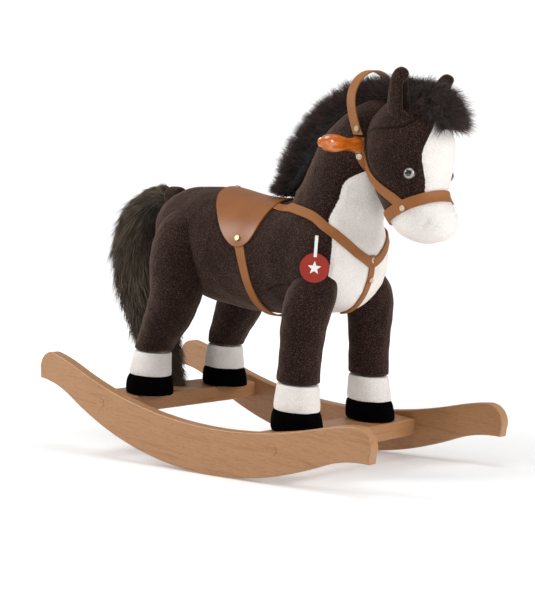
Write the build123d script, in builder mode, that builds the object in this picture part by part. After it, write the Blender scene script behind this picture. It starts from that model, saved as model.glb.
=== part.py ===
"""Plush rocking horse: a stuffed pony on a wooden rocker base.

Millimetres. Origin on the floor midway between the two runners' contact lines,
+X towards the head, +Y to the horse's left, +Z up.
"""

import os
from math import cos, radians, sin, sqrt

from build123d import *

os.makedirs("parts", exist_ok=True)

# ---- Rocker base -----------------------------------------------------------
runner_half_length = 370.0
base_width = 370.0
runner_thickness = 20.0
runner_height = 76.0
rocking_radius = 650.0
top_radius = 880.0
tip_length = 87.0
tip_rise = 21.0
crest_length = 32.0
crest_rise = 14.5
nose_lead = 1.0
nose_flat = 12.0
crest_setback = 5.0
runner_edge_round = 2.5

bar_width = 72.0
bar_thickness = 29.0
bar_top = 84.0
front_bar_x = 167.0
rear_bar_x = -202.0
bar_edge_round = 3.0

bolt_radius = 3.0
bolt_head_radius = 6.5
bolt_head_height = 4.0
bolt_clearance = 0.3
bolt_height = 70.0
front_bolt_offset = 23.0
rear_bolt_offset = -2.0
plug_radius = 8.5
plug_thickness = 5.0
plug_dome = 1.0
nut_radius = 5.0
nut_length = 18.0
nut_inset = 32.0
dowel_radius = 4.0
dowel_in_runner = 12.0
dowel_in_bar = 20.0
front_dowel_offset = -14.0
rear_dowel_offset = 22.0

# ---- Inner frame -----------------------------------------------------------
post_radius = 11.0
hoof_gap = 27.0
yoke_height = 300.0
yoke_thickness = 22.0
yoke_width = 52.0
yoke_overhang = 12.0
front_post_top_x = 150.0
front_post_top_y = 72.0
rear_post_top_x = -143.0
rear_post_top_y = 78.0
rail_width = 40.0
rail_thickness = 22.0
rail_overhang = 30.0
screw_radius = 2.5
screw_head_radius = 5.0
screw_head_height = 2.5
rail_screw_setback = 20.0
rail_screw_spread = 12.0
yoke_corner = 20.0
post_screw_length = 62.0
yoke_screw_length = 60.0
rail_screw_length = 40.0
neck_post_radius = 14.0
neck_post_foot_x = 150.0
block_length = 50.0
block_width = 56.0
block_height = 44.0

# ---- Grips -----------------------------------------------------------------
grip_x = 205.0
grip_z = 536.0
grip_root_y = 54.0
grip_length = 91.0
grip_profile = (
    # share of the length from the neck outwards, radius
    (0, 10.5), (0.07, 12.0), (0.24, 10.0), (0.45, 11.4), (0.68, 14.0), (0.80, 13.0), (0.90, 10.2), (0.96, 6.8), (1, 0),
)
grip_rod_radius = 5.0
grip_rod_clearance = 0.05
grip_rod_bite = 70.0
washer_radius = 12.0
washer_thickness = 2.0

# ---- Plush -----------------------------------------------------------------
patch_depth = 5.0
hoof_radius = 43.0
hoof_height = 32.0
sock_height = 43.0
front_hoof_x = 160.0
rear_hoof_x = -180.0
eye_x = 303.0
eye_y = 50.5
eye_z = 499.0
eye_radius = 9.5
eye_shank_radius = 2.5
eye_shank_length = 20.0
eye_washer_radius = 9.0
eye_washer_thickness = 1.5

patch_rear_x = 120.0
patch_reach = 160.0
patch_outline = (
    # y, z of the white chest patch seen from the front
    (0, 258), (34, 272), (66, 304), (74, 345), (69, 400), (60, 450), (50, 488), (0, 512),
    (-50, 488), (-60, 450), (-69, 400), (-74, 345), (-66, 304), (-34, 272),
)
blaze_rear_x = 262.0
blaze_outline = (
    # y, z of the white blaze seen from the front
    (0, 440), (32, 452), (31, 480), (42, 518), (41, 540), (24, 572), (0, 600),
    (-24, 572), (-41, 540), (-42, 518), (-31, 480), (-32, 452),
)
noseband_front_x = 337.0
noseband_front_z = 471.0
noseband_slope = 27.0
ear_table = (
    # x, y, z, half length, half width
    (272, 38, 575, 20, 16),
    (274, 48, 600, 22, 13),
    (277, 55, 628, 19, 10),
    (279, 59, 648, 11, 6),
    (279, 60, 656, 5, 3),
)
mane_table = (
    # x, z, half depth, half width, tilt
    (24, 452, 14, 10, 20),
    (42, 486, 26, 16, 24),
    (66, 525, 28, 20, 32),
    (96, 562, 27, 22, 42),
    (130, 590, 25, 22, 58),
    (172, 608, 22, 20, 74),
    (215, 616, 18, 20, 88),
    (252, 617, 16, 20, 92),
)
forelock_table = (
    (258, 616, 16, 20, 92),
    (285, 616, 19, 28, 100),
    (312, 604, 22, 30, 128),
    (328, 584, 16, 24, 155),
    (333, 570, 7, 12, 165),
)

# ---- Tack ------------------------------------------------------------------
leather = 2.5
saddle_leather = 4.0
strap_width = 16.0
noseband_width = 17.0
rivet_head_radius = 4.5
rivet_head_height = 2.0
rivet_shank_radius = 1.8
crown_rivet_length = 22.0
pivot_clearance = 0.05
pivot_gap = 0.4
crown_half_spread = 59.0
crown_rivet_x = 206.0
crown_rivet_z = 561.0
crown_bend_x = 186.0
crown_bend_z = 603.0
crown_top_z = 655.0
crown_end_z = 552.0
crown_width = 15.0
crown_route = ((crown_rivet_x + 4, crown_end_z - 4), (crown_bend_x + 2, crown_bend_z), (crown_bend_x - 1, crown_top_z + 6))
saddle_outline = (
    # x, z of the saddle seen from the side, from the back of the seat
    (-112, 470), (-96, 446), (-62, 410), (-37, 383), (-16, 366), (5, 359), (24, 369),
    (34, 396), (38, 432), (36, 470), (-40, 490),
)
girth_route = ((4, 368), (18, 335), (25, 300), (29, 238))
breast_route = ((22, 452), (60, 437), (112, 428), (158, 414), (190, 388), (214, 350))
martingale_rear_x = 140.0
martingale_top = 352.0
martingale_bottom = 262.0
seat_rivet_x = -92.0
flap_rivet_x = 3.0
flap_rivet_z = 373.0
martingale_rivet_z = 326.0
ring_rivet_z = 358.0
noseband_rivet_x = 297.0
noseband_rivet_z = 447.0
cheek_rivet_x = 207.0
cheek_rivet_z = 519.0
cheek_route = ((206, 549), (212, 516), (236, 485), (266, 467), (298, 446))

# ---- Tail ------------------------------------------------------------------
dock_x = -246.0
dock_z = 424.0
dock_radius = 18.0
dock_depth = 22.0
tail_pivot_x = -268.0
tail_knuckle_radius = 20.0
tail_knuckle_width = 34.0
seam_gap = 0.4
bore_clearance = 0.05

tail_table = (
    # x, z, half depth, half width, tilt
    (-270, 424, 14, 14, -90),
    (-297, 414, 27, 26, -112),
    (-325, 380, 41, 39, -145),
    (-337, 326, 48, 46, -178),
    (-323, 264, 49, 45, -203),
    (-291, 204, 44, 40, -208),
    (-258, 148, 31, 28, -208),
    (-232, 100, 12, 12, -205),
)

# ---- Hang tag --------------------------------------------------------------
tag_radius = 23.0
tag_thickness = 1.6
tag_x = 171.0
tag_y = -96.0
tag_top_z = 391.0
tag_centre_z = 343.0
tag_heading = 34.0
tag_pin_radius = 1.1
tag_pin_head_radius = 2.5
tag_pin_head_height = 1.0
tag_pin_length = 24.0
ribbon_lap = 6.0
ribbon_width = 5.0
ribbon_thickness = 0.8

# ---- Places that follow from the sizes --------------------------------------
inner_face = base_width / 2 - runner_thickness
hoof_y = inner_face - hoof_gap - hoof_radius
bar_bottom = bar_top - bar_thickness
yoke_top = yoke_height + yoke_thickness
rail_top = yoke_top + rail_thickness
SIDES = ((-1, "right"), (1, "left"))
ENDS = ((front_bar_x, "front"), (rear_bar_x, "rear"))
saved_names = []


def save(piece, name):
    """Label one finished piece and write it to its own file."""
    piece.label = name
    export_step(piece, f"parts/{name}.step")
    saved_names.append(name)
    return piece


def ring(x, y, z, along, across, tilt=0.0):
    """An ellipse whose plane leans `tilt` degrees from level towards +X."""
    lean = radians(tilt)
    plane = Plane(origin=(x, y, z), x_dir=(cos(lean), 0, -sin(lean)), z_dir=(sin(lean), 0, cos(lean)))
    with BuildSketch(plane) as outline:
        Ellipse(along, across)
    return outline.sketch


def circle_at(x, y, z, radius):
    """A level circle."""
    with BuildSketch(Plane.XY.offset(z)) as outline:
        with Locations((x, y)):
            Circle(radius)
    return outline.sketch


def largest_solid(shape):
    """The main solid, without the crumbs that crossing cuts leave."""
    return shape.solids().sort_by(SortBy.VOLUME)[-1]


def cut_away(pieces):
    """Take other pieces' solids out of the part being built."""
    for piece in pieces:
        add(piece, mode=Mode.SUBTRACT)


# ============================ Rocker base ====================================
for side, hand in SIDES:
    tread_end = runner_half_length - tip_length
    tread_z = rocking_radius - sqrt(rocking_radius**2 - tread_end**2)
    crest_start = tread_end - crest_setback
    crest_z = runner_height + top_radius - sqrt(top_radius**2 - crest_start**2)
    crest_x = runner_half_length - crest_length
    tip_z = tread_z + tip_rise
    outer_plane = Plane.XZ.offset(-side * base_width / 2)
    with BuildPart() as runner:
        with BuildSketch(outer_plane):
            with BuildLine():
                sole = ThreePointArc(
                    (0, 0),
                    (tread_end / 2, rocking_radius - sqrt(rocking_radius**2 - tread_end**2 / 4)),
                    (tread_end, tread_z),
                )
                TangentArc((tread_end, tread_z), (runner_half_length, tip_z), tangent=sole % 1)
                Line((runner_half_length, tip_z), (runner_half_length + nose_lead, tip_z + nose_flat))
                back = ThreePointArc(
                    (0, runner_height),
                    (crest_start / 2, runner_height + top_radius - sqrt(top_radius**2 - crest_start**2 / 4)),
                    (crest_start, crest_z),
                )
                crest = TangentArc((crest_start, crest_z), (crest_x, crest_z + crest_rise), tangent=back % 1)
                TangentArc(
                    (crest_x, crest_z + crest_rise),
                    (runner_half_length + nose_lead, tip_z + nose_flat),
                    tangent=crest % 1,
                )
                Line((0, runner_height), (0, 0))
            make_face()
            mirror(about=Plane.YZ)
        extrude(amount=side * runner_thickness)
        faces_out = runner.faces().filter_by(Axis.Y)
        fillet(faces_out.edges(), runner_edge_round)
        for bar_x, end in ENDS:
            bolt_x = bar_x + (front_bolt_offset if end == "front" else rear_bolt_offset)
            dowel_x = bar_x + (front_dowel_offset if end == "front" else rear_dowel_offset)
            with BuildSketch(outer_plane):
                with Locations((bolt_x, bolt_height)):
                    Circle(bolt_radius + bolt_clearance)
            extrude(amount=side * runner_thickness, mode=Mode.SUBTRACT)
            with BuildSketch(outer_plane):
                with Locations((bolt_x, bolt_height)):
                    Circle(plug_radius)
            extrude(amount=side * (plug_thickness + bolt_head_height), mode=Mode.SUBTRACT)
            with BuildSketch(Plane.XZ.offset(-side * inner_face)):
                with Locations((dowel_x, bolt_height)):
                    Circle(dowel_radius)
            extrude(amount=-side * dowel_in_runner, mode=Mode.SUBTRACT)
    save(runner.part, f"runner_{hand}")

crossbars = {}
for bar_x, end in ENDS:
    bolt_x = bar_x + (front_bolt_offset if end == "front" else rear_bolt_offset)
    dowel_x = bar_x + (front_dowel_offset if end == "front" else rear_dowel_offset)
    hoof_x = front_hoof_x if end == "front" else rear_hoof_x
    with BuildPart() as bar:
        with BuildSketch(Plane.XY.offset(bar_bottom)):
            with Locations((bar_x, 0)):
                Rectangle(bar_width, 2 * inner_face)
        extrude(amount=bar_thickness)
        fillet(bar.edges().filter_by(Axis.Y), bar_edge_round)
        for side, hand in SIDES:
            end_plane = Plane.XZ.offset(-side * inner_face)
            with BuildSketch(end_plane):
                with Locations((bolt_x, bolt_height)):
                    Circle(bolt_radius)
            extrude(amount=side * (nut_inset + nut_radius), mode=Mode.SUBTRACT)
            with BuildSketch(end_plane):
                with Locations((dowel_x, bolt_height)):
                    Circle(dowel_radius)
            extrude(amount=side * dowel_in_bar, mode=Mode.SUBTRACT)
            with BuildSketch(Plane.XY.offset(bar_bottom)):
                with Locations((bolt_x, side * (inner_face - nut_inset))):
                    Circle(nut_radius)
            extrude(amount=bolt_height + nut_length / 2 - bar_bottom, mode=Mode.SUBTRACT)
            with BuildSketch(Plane.XY.offset(bar_bottom)):
                with Locations((hoof_x, side * hoof_y)):
                    Circle(screw_radius)
            extrude(amount=bar_thickness, mode=Mode.SUBTRACT)
            with BuildSketch(Plane.XY.offset(bar_bottom)):
                with Locations((hoof_x, side * hoof_y)):
                    Circle(screw_head_radius)
            extrude(amount=screw_head_height, mode=Mode.SUBTRACT)
    crossbars[end] = save(bar.part, f"{end}_crossbar")

with BuildPart() as bolts:
    for side, hand in SIDES:
        for bolt_x in (front_bar_x + front_bolt_offset, rear_bar_x + rear_bolt_offset):
            head_plane = Plane.XZ.offset(-side * (base_width / 2 - plug_thickness))
            with BuildSketch(head_plane):
                with Locations((bolt_x, bolt_height)):
                    Circle(bolt_head_radius)
            extrude(amount=side * bolt_head_height)
            with BuildSketch(head_plane):
                with Locations((bolt_x, bolt_height)):
                    Circle(bolt_radius)
            extrude(amount=side * (runner_thickness - plug_thickness + nut_inset + nut_radius))
save(bolts.part, "runner_bolts")

with BuildPart() as nuts:
    for side, hand in SIDES:
        for bolt_x in (front_bar_x + front_bolt_offset, rear_bar_x + rear_bolt_offset):
            with BuildSketch(Plane.XY.offset(bolt_height - nut_length / 2)):
                with Locations((bolt_x, side * (inner_face - nut_inset))):
                    Circle(nut_radius)
            extrude(amount=nut_length)
    cut_away([bolts.part])
save(nuts.part, "barrel_nuts")

with BuildPart() as plugs:
    for side, hand in SIDES:
        for bolt_x in (front_bar_x + front_bolt_offset, rear_bar_x + rear_bolt_offset):
            with BuildSketch(Plane.XZ.offset(-side * (base_width / 2 - plug_thickness))):
                with Locations((bolt_x, bolt_height)):
                    Circle(plug_radius)
            extrude(amount=-side * (plug_thickness + plug_dome))
    rims = plugs.edges().filter_by(GeomType.CIRCLE).group_by(lambda e: round(abs(e.center().Y), 2))[-1]
    chamfer(rims, plug_dome * 0.9)
save(plugs.part, "bolt_plugs")

with BuildPart() as dowels:
    for side, hand in SIDES:
        for dowel_x in (front_bar_x + front_dowel_offset, rear_bar_x + rear_dowel_offset):
            with BuildSketch(Plane.XZ.offset(-side * (inner_face + dowel_in_runner))):
                with Locations((dowel_x, bolt_height)):
                    Circle(dowel_radius)
            extrude(amount=side * (dowel_in_runner + dowel_in_bar))
save(dowels.part, "locating_dowels")

# ============================ Inner frame ====================================
post_tops = {"front": (front_post_top_x, front_post_top_y), "rear": (rear_post_top_x, rear_post_top_y)}
hoof_places = {"front": front_hoof_x, "rear": rear_hoof_x}

with BuildPart() as post_screws:
    for hoof_x in hoof_places.values():
        for side, hand in SIDES:
            foot = (hoof_x, side * hoof_y)
            with BuildSketch(Plane.XY.offset(bar_bottom)):
                with Locations(foot):
                    Circle(screw_head_radius)
            extrude(amount=screw_head_height)
            with BuildSketch(Plane.XY.offset(bar_bottom)):
                with Locations(foot):
                    Circle(screw_radius)
            extrude(amount=post_screw_length)
save(post_screws.part, "post_screws")

yokes = {}
for end, (top_x, top_y) in post_tops.items():
    rail_screws = [(top_x - rail_screw_setback, y) for y in (-rail_screw_spread, rail_screw_spread)]
    with BuildPart() as yoke:
        with BuildSketch(Plane.XY.offset(yoke_height)):
            with Locations((top_x, 0)):
                RectangleRounded(yoke_width, 2 * (top_y + yoke_overhang), yoke_corner)
            with Locations((top_x, top_y), (top_x, -top_y)):
                Circle(screw_radius, mode=Mode.SUBTRACT)
        extrude(amount=yoke_thickness)
        with BuildSketch(Plane.XY.offset(yoke_top)):
            with Locations((top_x, top_y), (top_x, -top_y)):
                Circle(screw_head_radius)
        extrude(amount=-screw_head_height, mode=Mode.SUBTRACT)
        with BuildSketch(Plane.XY.offset(yoke_top)):
            with Locations(*rail_screws):
                Circle(screw_radius)
        extrude(amount=-(rail_screw_length - rail_thickness), mode=Mode.SUBTRACT)
    yokes[end] = save(yoke.part, f"{end}_yoke")

with BuildPart() as frame_screws:
    for top_x, top_y in post_tops.values():
        screw_runs = [(top_x, top_y, yoke_top, yoke_screw_length), (top_x, -top_y, yoke_top, yoke_screw_length)]
        for spread in (-rail_screw_spread, rail_screw_spread):
            screw_runs.append((top_x - rail_screw_setback, spread, rail_top, rail_screw_length))
        for screw_x, screw_y, screw_z, screw_length in screw_runs:
            with BuildSketch(Plane.XY.offset(screw_z)):
                with Locations((screw_x, screw_y)):
                    Circle(screw_head_radius)
            extrude(amount=-screw_head_height)
            with BuildSketch(Plane.XY.offset(screw_z)):
                with Locations((screw_x, screw_y)):
                    Circle(screw_radius)
            extrude(amount=-screw_length)
save(frame_screws.part, "frame_screws")

with BuildPart() as leg_posts:
    for end, (top_x, top_y) in post_tops.items():
        for side, hand in SIDES:
            loft(
                sections=[
                    circle_at(hoof_places[end], side * hoof_y, bar_top, post_radius),
                    circle_at(top_x, side * top_y, yoke_height, post_radius),
                ]
            )
    cut_away([post_screws.part, frame_screws.part])
save(leg_posts.part, "leg_posts")

with BuildPart() as head_block:
    with BuildSketch(Plane.XZ.offset(-block_width / 2)):
        with Locations((grip_x, grip_z)):
            Rectangle(block_length, block_height)
            Circle(grip_rod_radius, mode=Mode.SUBTRACT)
    extrude(amount=block_width)
save(head_block.part, "head_block")

with BuildPart() as neck_post:
    post_head_z = grip_z - block_height / 2
    loft(
        sections=[
            circle_at(neck_post_foot_x, 0, yoke_top, neck_post_radius),
            circle_at(grip_x, 0, post_head_z, neck_post_radius),
        ]
    )
save(neck_post.part, "neck_post")

with BuildPart() as back_rail:
    rail_front = front_post_top_x + rail_overhang
    rail_rear = rear_post_top_x - rail_overhang
    with BuildSketch(Plane.XY.offset(yoke_top)):
        with Locations(((rail_front + rail_rear) / 2, 0)):
            Rectangle(rail_front - rail_rear, rail_width)
    extrude(amount=rail_thickness)
    cut_away([neck_post.part, frame_screws.part])
save(back_rail.part, "back_rail")

with BuildPart() as grip_rod:
    with BuildSketch(Plane.XZ.offset(-grip_root_y - grip_rod_bite)):
        with Locations((grip_x, grip_z)):
            Circle(grip_rod_radius)
    extrude(amount=2 * (grip_root_y + grip_rod_bite))
save(grip_rod.part, "grip_rod")

with BuildPart() as washers:
    for side, hand in SIDES:
        with BuildSketch(Plane.XZ.offset(-side * grip_root_y)):
            with Locations((grip_x, grip_z)):
                Circle(washer_radius)
                Circle(grip_rod_radius, mode=Mode.SUBTRACT)
        extrude(amount=side * washer_thickness)
save(washers.part, "grip_washers")

grips = []
for side, hand in SIDES:
    root = (grip_x, side * grip_root_y, grip_z)
    with BuildPart() as grip:
        with BuildSketch(Plane(origin=root, x_dir=(0, side, 0), z_dir=(side, 0, 0))):
            with BuildLine():
                turned = Spline(
                    *((share * grip_length, radius) for share, radius in grip_profile),
                    tangents=((1, 1), (0, -1)),
                )
                Polyline((grip_length, 0), (0, 0), (0, grip_profile[0][1]))
            make_face()
        revolve(axis=Axis(root, (0, side, 0)))
        with BuildSketch(Plane.XZ.offset(-side * grip_root_y)):
            with Locations((grip_x, grip_z)):
                Circle(grip_rod_radius + grip_rod_clearance)
        extrude(amount=-side * (grip_rod_bite + 1.0), mode=Mode.SUBTRACT)
    grips.append(save(grip.part, f"{hand}_grip"))

frame_parts = [
    leg_posts.part, *yokes.values(), post_screws.part, frame_screws.part, back_rail.part,
    neck_post.part, head_block.part, grip_rod.part, washers.part, *grips,
]

# ============================ Plush shapes ===================================
# Each loft is a row of ellipses. `grow` moves them out by a leather's thickness
# or in by a patch's depth, which gives the shells that lie on the plush.
torso_table = (
    # x, axis height, half height, half width
    (-252, 376, 18, 20),
    (-240, 375, 42, 48),
    (-205, 367, 74, 82),
    (-155, 356, 94, 96),
    (-100, 349, 100, 99),
    (-50, 344, 98, 98),
    (0, 342, 96, 96),
    (60, 346, 96, 94),
    (115, 355, 96, 92),
    (155, 360, 94, 86),
    (181, 362, 84, 76),
    (197, 361, 62, 54),
    (207, 358, 30, 24),
)
neck_table = (
    # x, height, half length, half width, tilt
    (138, 375, 58, 64, 0),
    (133, 430, 77, 76, 0),
    (146, 470, 74, 68, 4),
    (160, 510, 72, 62, 8),
    (182, 550, 67, 57, 12),
    (208, 583, 50, 47, 18),
    (232, 601, 30, 30, 24),
)
head_table = (
    (262, 614, 24, 22, 0),
    (262, 600, 48, 42, 0),
    (260, 572, 68, 60, 0),
    (264, 536, 73, 66, 0),
    (267, 500, 67, 64, 0),
    (273, 470, 58, 56, 0),
    (291, 444, 62, 50, 0),
    (301, 420, 54, 44, 0),
    (305, 403, 38, 32, 0),
    (306, 395, 16, 14, 0),
)
front_leg_table = (
    # x from the hoof, y from the hoof towards the middle, height above the bar, radius
    (0, 0, 0, 43),
    (-4, 1, 30, 39.5),
    (-8, 4, 75, 35),
    (-10, 7, 125, 34.5),
    (-10, 11, 172, 38),
    (-9, 20, 204, 40),
    (-8, 36, 232, 34),
    (-6, 52, 256, 22),
)
rear_leg_table = (
    (0, 0, 0, 43),
    (-3, 1, 28, 39.5),
    (-2, 4, 75, 34),
    (8, 7, 100, 36.5),
    (24, 8, 132, 42),
    (40, 9, 180, 46),
    (38, 12, 222, 50),
    (35, 18, 262, 49),
    (32, 27, 300, 40),
    (30, 40, 325, 24),
)
leg_tables = {"front": front_leg_table, "rear": rear_leg_table}


def end_shifts(table, grow):
    """How far each ring moves along its row, so that a grown end cap moves out too."""
    return [-grow, *[0.0] * (len(table) - 2), grow]


def torso_rings(grow=0.0):
    shifts = end_shifts(torso_table, grow)
    return [ring(x + d, 0, z, high + grow, wide + grow, 90) for (x, z, high, wide), d in zip(torso_table, shifts)]


def upright_rings(table, grow):
    """Rings that climb from bottom to top."""
    shifts = end_shifts(table, grow)
    return [ring(x, 0, z + d, long + grow, wide + grow, tilt) for (x, z, long, wide, tilt), d in zip(table, shifts)]


def neck_rings(grow=0.0):
    return upright_rings(neck_table, grow)


def head_rings(grow=0.0):
    return upright_rings(head_table[::-1], grow)


def leg_rings(end, side):
    rings = []
    for dx, inward, rise, radius in leg_tables[end]:
        across = radius * hoof_radius / 43.0
        rings.append(ring(hoof_places[end] + dx, side * (hoof_y - inward), bar_top + rise, across, across))
    return rings


with BuildPart() as torso_form:
    loft(sections=torso_rings())

with BuildPart() as neck_form:
    loft(sections=neck_rings())

with BuildPart() as head_form:
    loft(sections=head_rings())

# ---- Legs, socks and hooves ---------------------------------------------------
hoof_top = bar_top + hoof_height
sock_top = hoof_top + sock_height
leg_parts = []
for end in ("front", "rear"):
    for side, hand in SIDES:
        rings = leg_rings(end, side)
        with BuildPart() as hoof:
            loft(sections=rings)
            split(bisect_by=Plane.XY.offset(hoof_top), keep=Keep.BOTTOM)
            cut_away([leg_posts.part, post_screws.part])
        save(hoof.part, f"{end}_{hand}_hoof")
        with BuildPart() as sock:
            loft(sections=rings)
            split(bisect_by=Plane.XY.offset(hoof_top), keep=Keep.TOP)
            split(bisect_by=Plane.XY.offset(sock_top), keep=Keep.BOTTOM)
            cut_away([leg_posts.part, post_screws.part])
        save(sock.part, f"{end}_{hand}_sock")
        with BuildPart() as leg_block:
            loft(sections=rings)
            split(bisect_by=Plane.XY.offset(sock_top), keep=Keep.TOP)
            cut_away([torso_form.part, *frame_parts])
        with BuildPart() as leg:
            add(largest_solid(leg_block.part))
        leg_parts.append(save(leg.part, f"{end}_{hand}_leg"))

# ---- Torso, neck and chest patch ------------------------------------------------
with BuildPart() as patch_core:
    loft(sections=torso_rings(-patch_depth))
    loft(sections=neck_rings(-patch_depth))

with BuildPart() as head_core:
    loft(sections=head_rings(-patch_depth))

with BuildPart() as chest_patch:
    loft(sections=torso_rings())
    loft(sections=neck_rings())
    with BuildSketch(Plane.YZ.offset(patch_rear_x)):
        with BuildLine():
            Spline(*patch_outline, periodic=True)
        make_face()
    extrude(amount=patch_reach, mode=Mode.INTERSECT)
    cut_away([patch_core.part, head_form.part, *leg_parts, *frame_parts])
save(chest_patch.part, "chest_patch")

with BuildPart() as torso:
    loft(sections=torso_rings())
    cut_away([chest_patch.part, *frame_parts])
    with BuildSketch(Plane.YZ.offset(tail_pivot_x)):
        with Locations((0, dock_z)):
            Circle(dock_radius + bore_clearance)
    extrude(amount=dock_x + dock_depth - tail_pivot_x, mode=Mode.SUBTRACT)
save(torso.part, "torso")

with BuildPart() as crown_rivets:
    for side, hand in SIDES:
        with BuildSketch(Plane.XZ.offset(-side * (crown_half_spread + leather + pivot_gap))):
            with Locations((crown_rivet_x, crown_rivet_z)):
                Circle(rivet_head_radius)
        extrude(amount=-side * rivet_head_height)
        with BuildSketch(Plane.XZ.offset(-side * (crown_half_spread + leather + pivot_gap))):
            with Locations((crown_rivet_x, crown_rivet_z)):
                Circle(rivet_shank_radius)
        extrude(amount=side * crown_rivet_length)
save(crown_rivets.part, "crown_rivets")

with BuildPart() as neck_block:
    loft(sections=neck_rings())
    cut_away([torso_form.part, chest_patch.part, crown_rivets.part, *frame_parts])

with BuildPart() as neck:
    add(largest_solid(neck_block.part))
save(neck.part, "neck")

# ---- Head, blaze and muzzle -------------------------------------------------------
band_lean = radians(noseband_slope)
noseband_plane = Plane(
    origin=(noseband_front_x, 0, noseband_front_z),
    x_dir=(cos(band_lean), 0, sin(band_lean)),
    z_dir=(-sin(band_lean), 0, cos(band_lean)),
)

with BuildPart() as eyes:
    for side, hand in SIDES:
        with Locations((eye_x, side * eye_y, eye_z)):
            Sphere(eye_radius, rotation=(90, 0, 0))
        with BuildSketch(Plane.XZ.offset(-side * eye_y)):
            with Locations((eye_x, eye_z)):
                Circle(eye_shank_radius)
        extrude(amount=side * (eye_radius + eye_shank_length))
save(eyes.part, "eyes")

with BuildPart() as eye_seats:
    add(eyes.part)
    for side, hand in SIDES:
        with BuildSketch(Plane.XZ.offset(-side * (eye_y - eye_radius - eye_shank_length / 2))):
            with Locations((eye_x, eye_z)):
                Circle(eye_washer_radius)
        extrude(amount=side * eye_washer_thickness)

with BuildPart() as eye_washers:
    add(eye_seats.part)
    cut_away([eyes.part])
save(eye_washers.part, "eye_washers")

with BuildPart() as muzzle:
    loft(sections=head_rings())
    split(bisect_by=noseband_plane, keep=Keep.BOTTOM)
    cut_away([torso_form.part, neck_form.part])
save(muzzle.part, "muzzle")

with BuildPart() as blaze:
    loft(sections=head_rings())
    split(bisect_by=noseband_plane, keep=Keep.TOP)
    with BuildSketch(Plane.YZ.offset(blaze_rear_x)):
        with BuildLine():
            Spline(*blaze_outline, periodic=True)
        make_face()
    extrude(amount=patch_reach, mode=Mode.INTERSECT)
    cut_away([head_core.part])
save(blaze.part, "blaze")

with BuildPart() as head:
    loft(sections=head_rings())
    split(bisect_by=noseband_plane, keep=Keep.TOP)
    cut_away([eye_seats.part, torso_form.part, neck_form.part, blaze.part, crown_rivets.part, *frame_parts])
save(head.part, "head")

plush = [torso_form.part, neck_form.part, head_form.part]
for side, hand in SIDES:
    with BuildPart() as ear:
        loft(sections=[ring(x, side * y, z, long, wide) for x, y, z, long, wide in ear_table])
        cut_away([head_form.part, neck_form.part])
    save(ear.part, f"{hand}_ear")

with BuildPart() as mane:
    loft(sections=[ring(x, 0, z, long, wide, tilt) for x, z, long, wide, tilt in mane_table])
    cut_away(plush)
save(mane.part, "mane")

with BuildPart() as forelock:
    loft(sections=[ring(x, 0, z, long, wide, tilt) for x, z, long, wide, tilt in forelock_table])
    cut_away([*plush, mane.part])
save(forelock.part, "forelock")

# ============================ Leather tack ===================================
# Each strap is a side-view band cut from the shell between a shape and the
# same shape grown by the leather's thickness.
strap_reach = base_width / 2


def side_band(*points, width=strap_width):
    """The face of a band seen from the side, along a smooth centre line."""
    with BuildSketch(Plane.XZ.offset(-strap_reach)) as band:
        with BuildLine():
            Spline(*points)
        trace(line_width=width)
    return band.sketch


with BuildPart() as saddle:
    loft(sections=torso_rings(saddle_leather))
    with BuildSketch(Plane.XZ.offset(-strap_reach)):
        with BuildLine():
            Spline(*saddle_outline, periodic=True)
        make_face()
    extrude(amount=2 * strap_reach, mode=Mode.INTERSECT)
    cut_away([torso_form.part, neck_form.part])
save(saddle.part, "saddle")

with BuildPart() as girth_strap:
    loft(sections=torso_rings(leather))
    extrude(side_band(*girth_route), amount=2 * strap_reach, mode=Mode.INTERSECT)
    cut_away([torso_form.part, saddle.part])
save(girth_strap.part, "girth_strap")

with BuildPart() as breast_loop:
    loft(sections=torso_rings(leather))
    loft(sections=neck_rings(leather))
    extrude(side_band(*breast_route), amount=2 * strap_reach, mode=Mode.INTERSECT)
    cut_away([torso_form.part, neck_form.part, saddle.part, *leg_parts])
for side, hand in SIDES:
    with BuildPart() as breast_strap:
        add(breast_loop.part)
        split(bisect_by=Plane.XZ, keep=Keep.TOP if side < 0 else Keep.BOTTOM)
    save(breast_strap.part, f"{hand}_breast_strap")

with BuildPart() as martingale:
    loft(sections=torso_rings(leather))
    with BuildSketch(Plane.YZ.offset(martingale_rear_x)):
        with Locations((0, (martingale_top + martingale_bottom) / 2)):
            Rectangle(strap_width, martingale_top - martingale_bottom)
    extrude(amount=patch_reach, mode=Mode.INTERSECT)
    cut_away([torso_form.part, breast_loop.part])
save(martingale.part, "martingale_strap")

with BuildPart() as noseband:
    loft(sections=head_rings(leather))
    split(bisect_by=noseband_plane.offset(noseband_width / 2), keep=Keep.BOTTOM)
    split(bisect_by=noseband_plane.offset(-noseband_width / 2), keep=Keep.TOP)
    cut_away([head_form.part, torso_form.part, neck_form.part])
save(noseband.part, "noseband")

with BuildPart() as cheek_loop:
    loft(sections=head_rings(leather))
    loft(sections=neck_rings(leather))
    extrude(side_band(*cheek_route), amount=2 * strap_reach, mode=Mode.INTERSECT)
    cut_away([head_form.part, neck_form.part, noseband.part, grip_rod.part, washers.part, *grips])
for side, hand in SIDES:
    with BuildPart() as cheek_half:
        add(cheek_loop.part)
        split(bisect_by=Plane.XZ, keep=Keep.TOP if side < 0 else Keep.BOTTOM)
    with BuildPart() as cheek_strap:
        add(largest_solid(cheek_half.part))
    save(cheek_strap.part, f"{hand}_cheek_strap")

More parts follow.
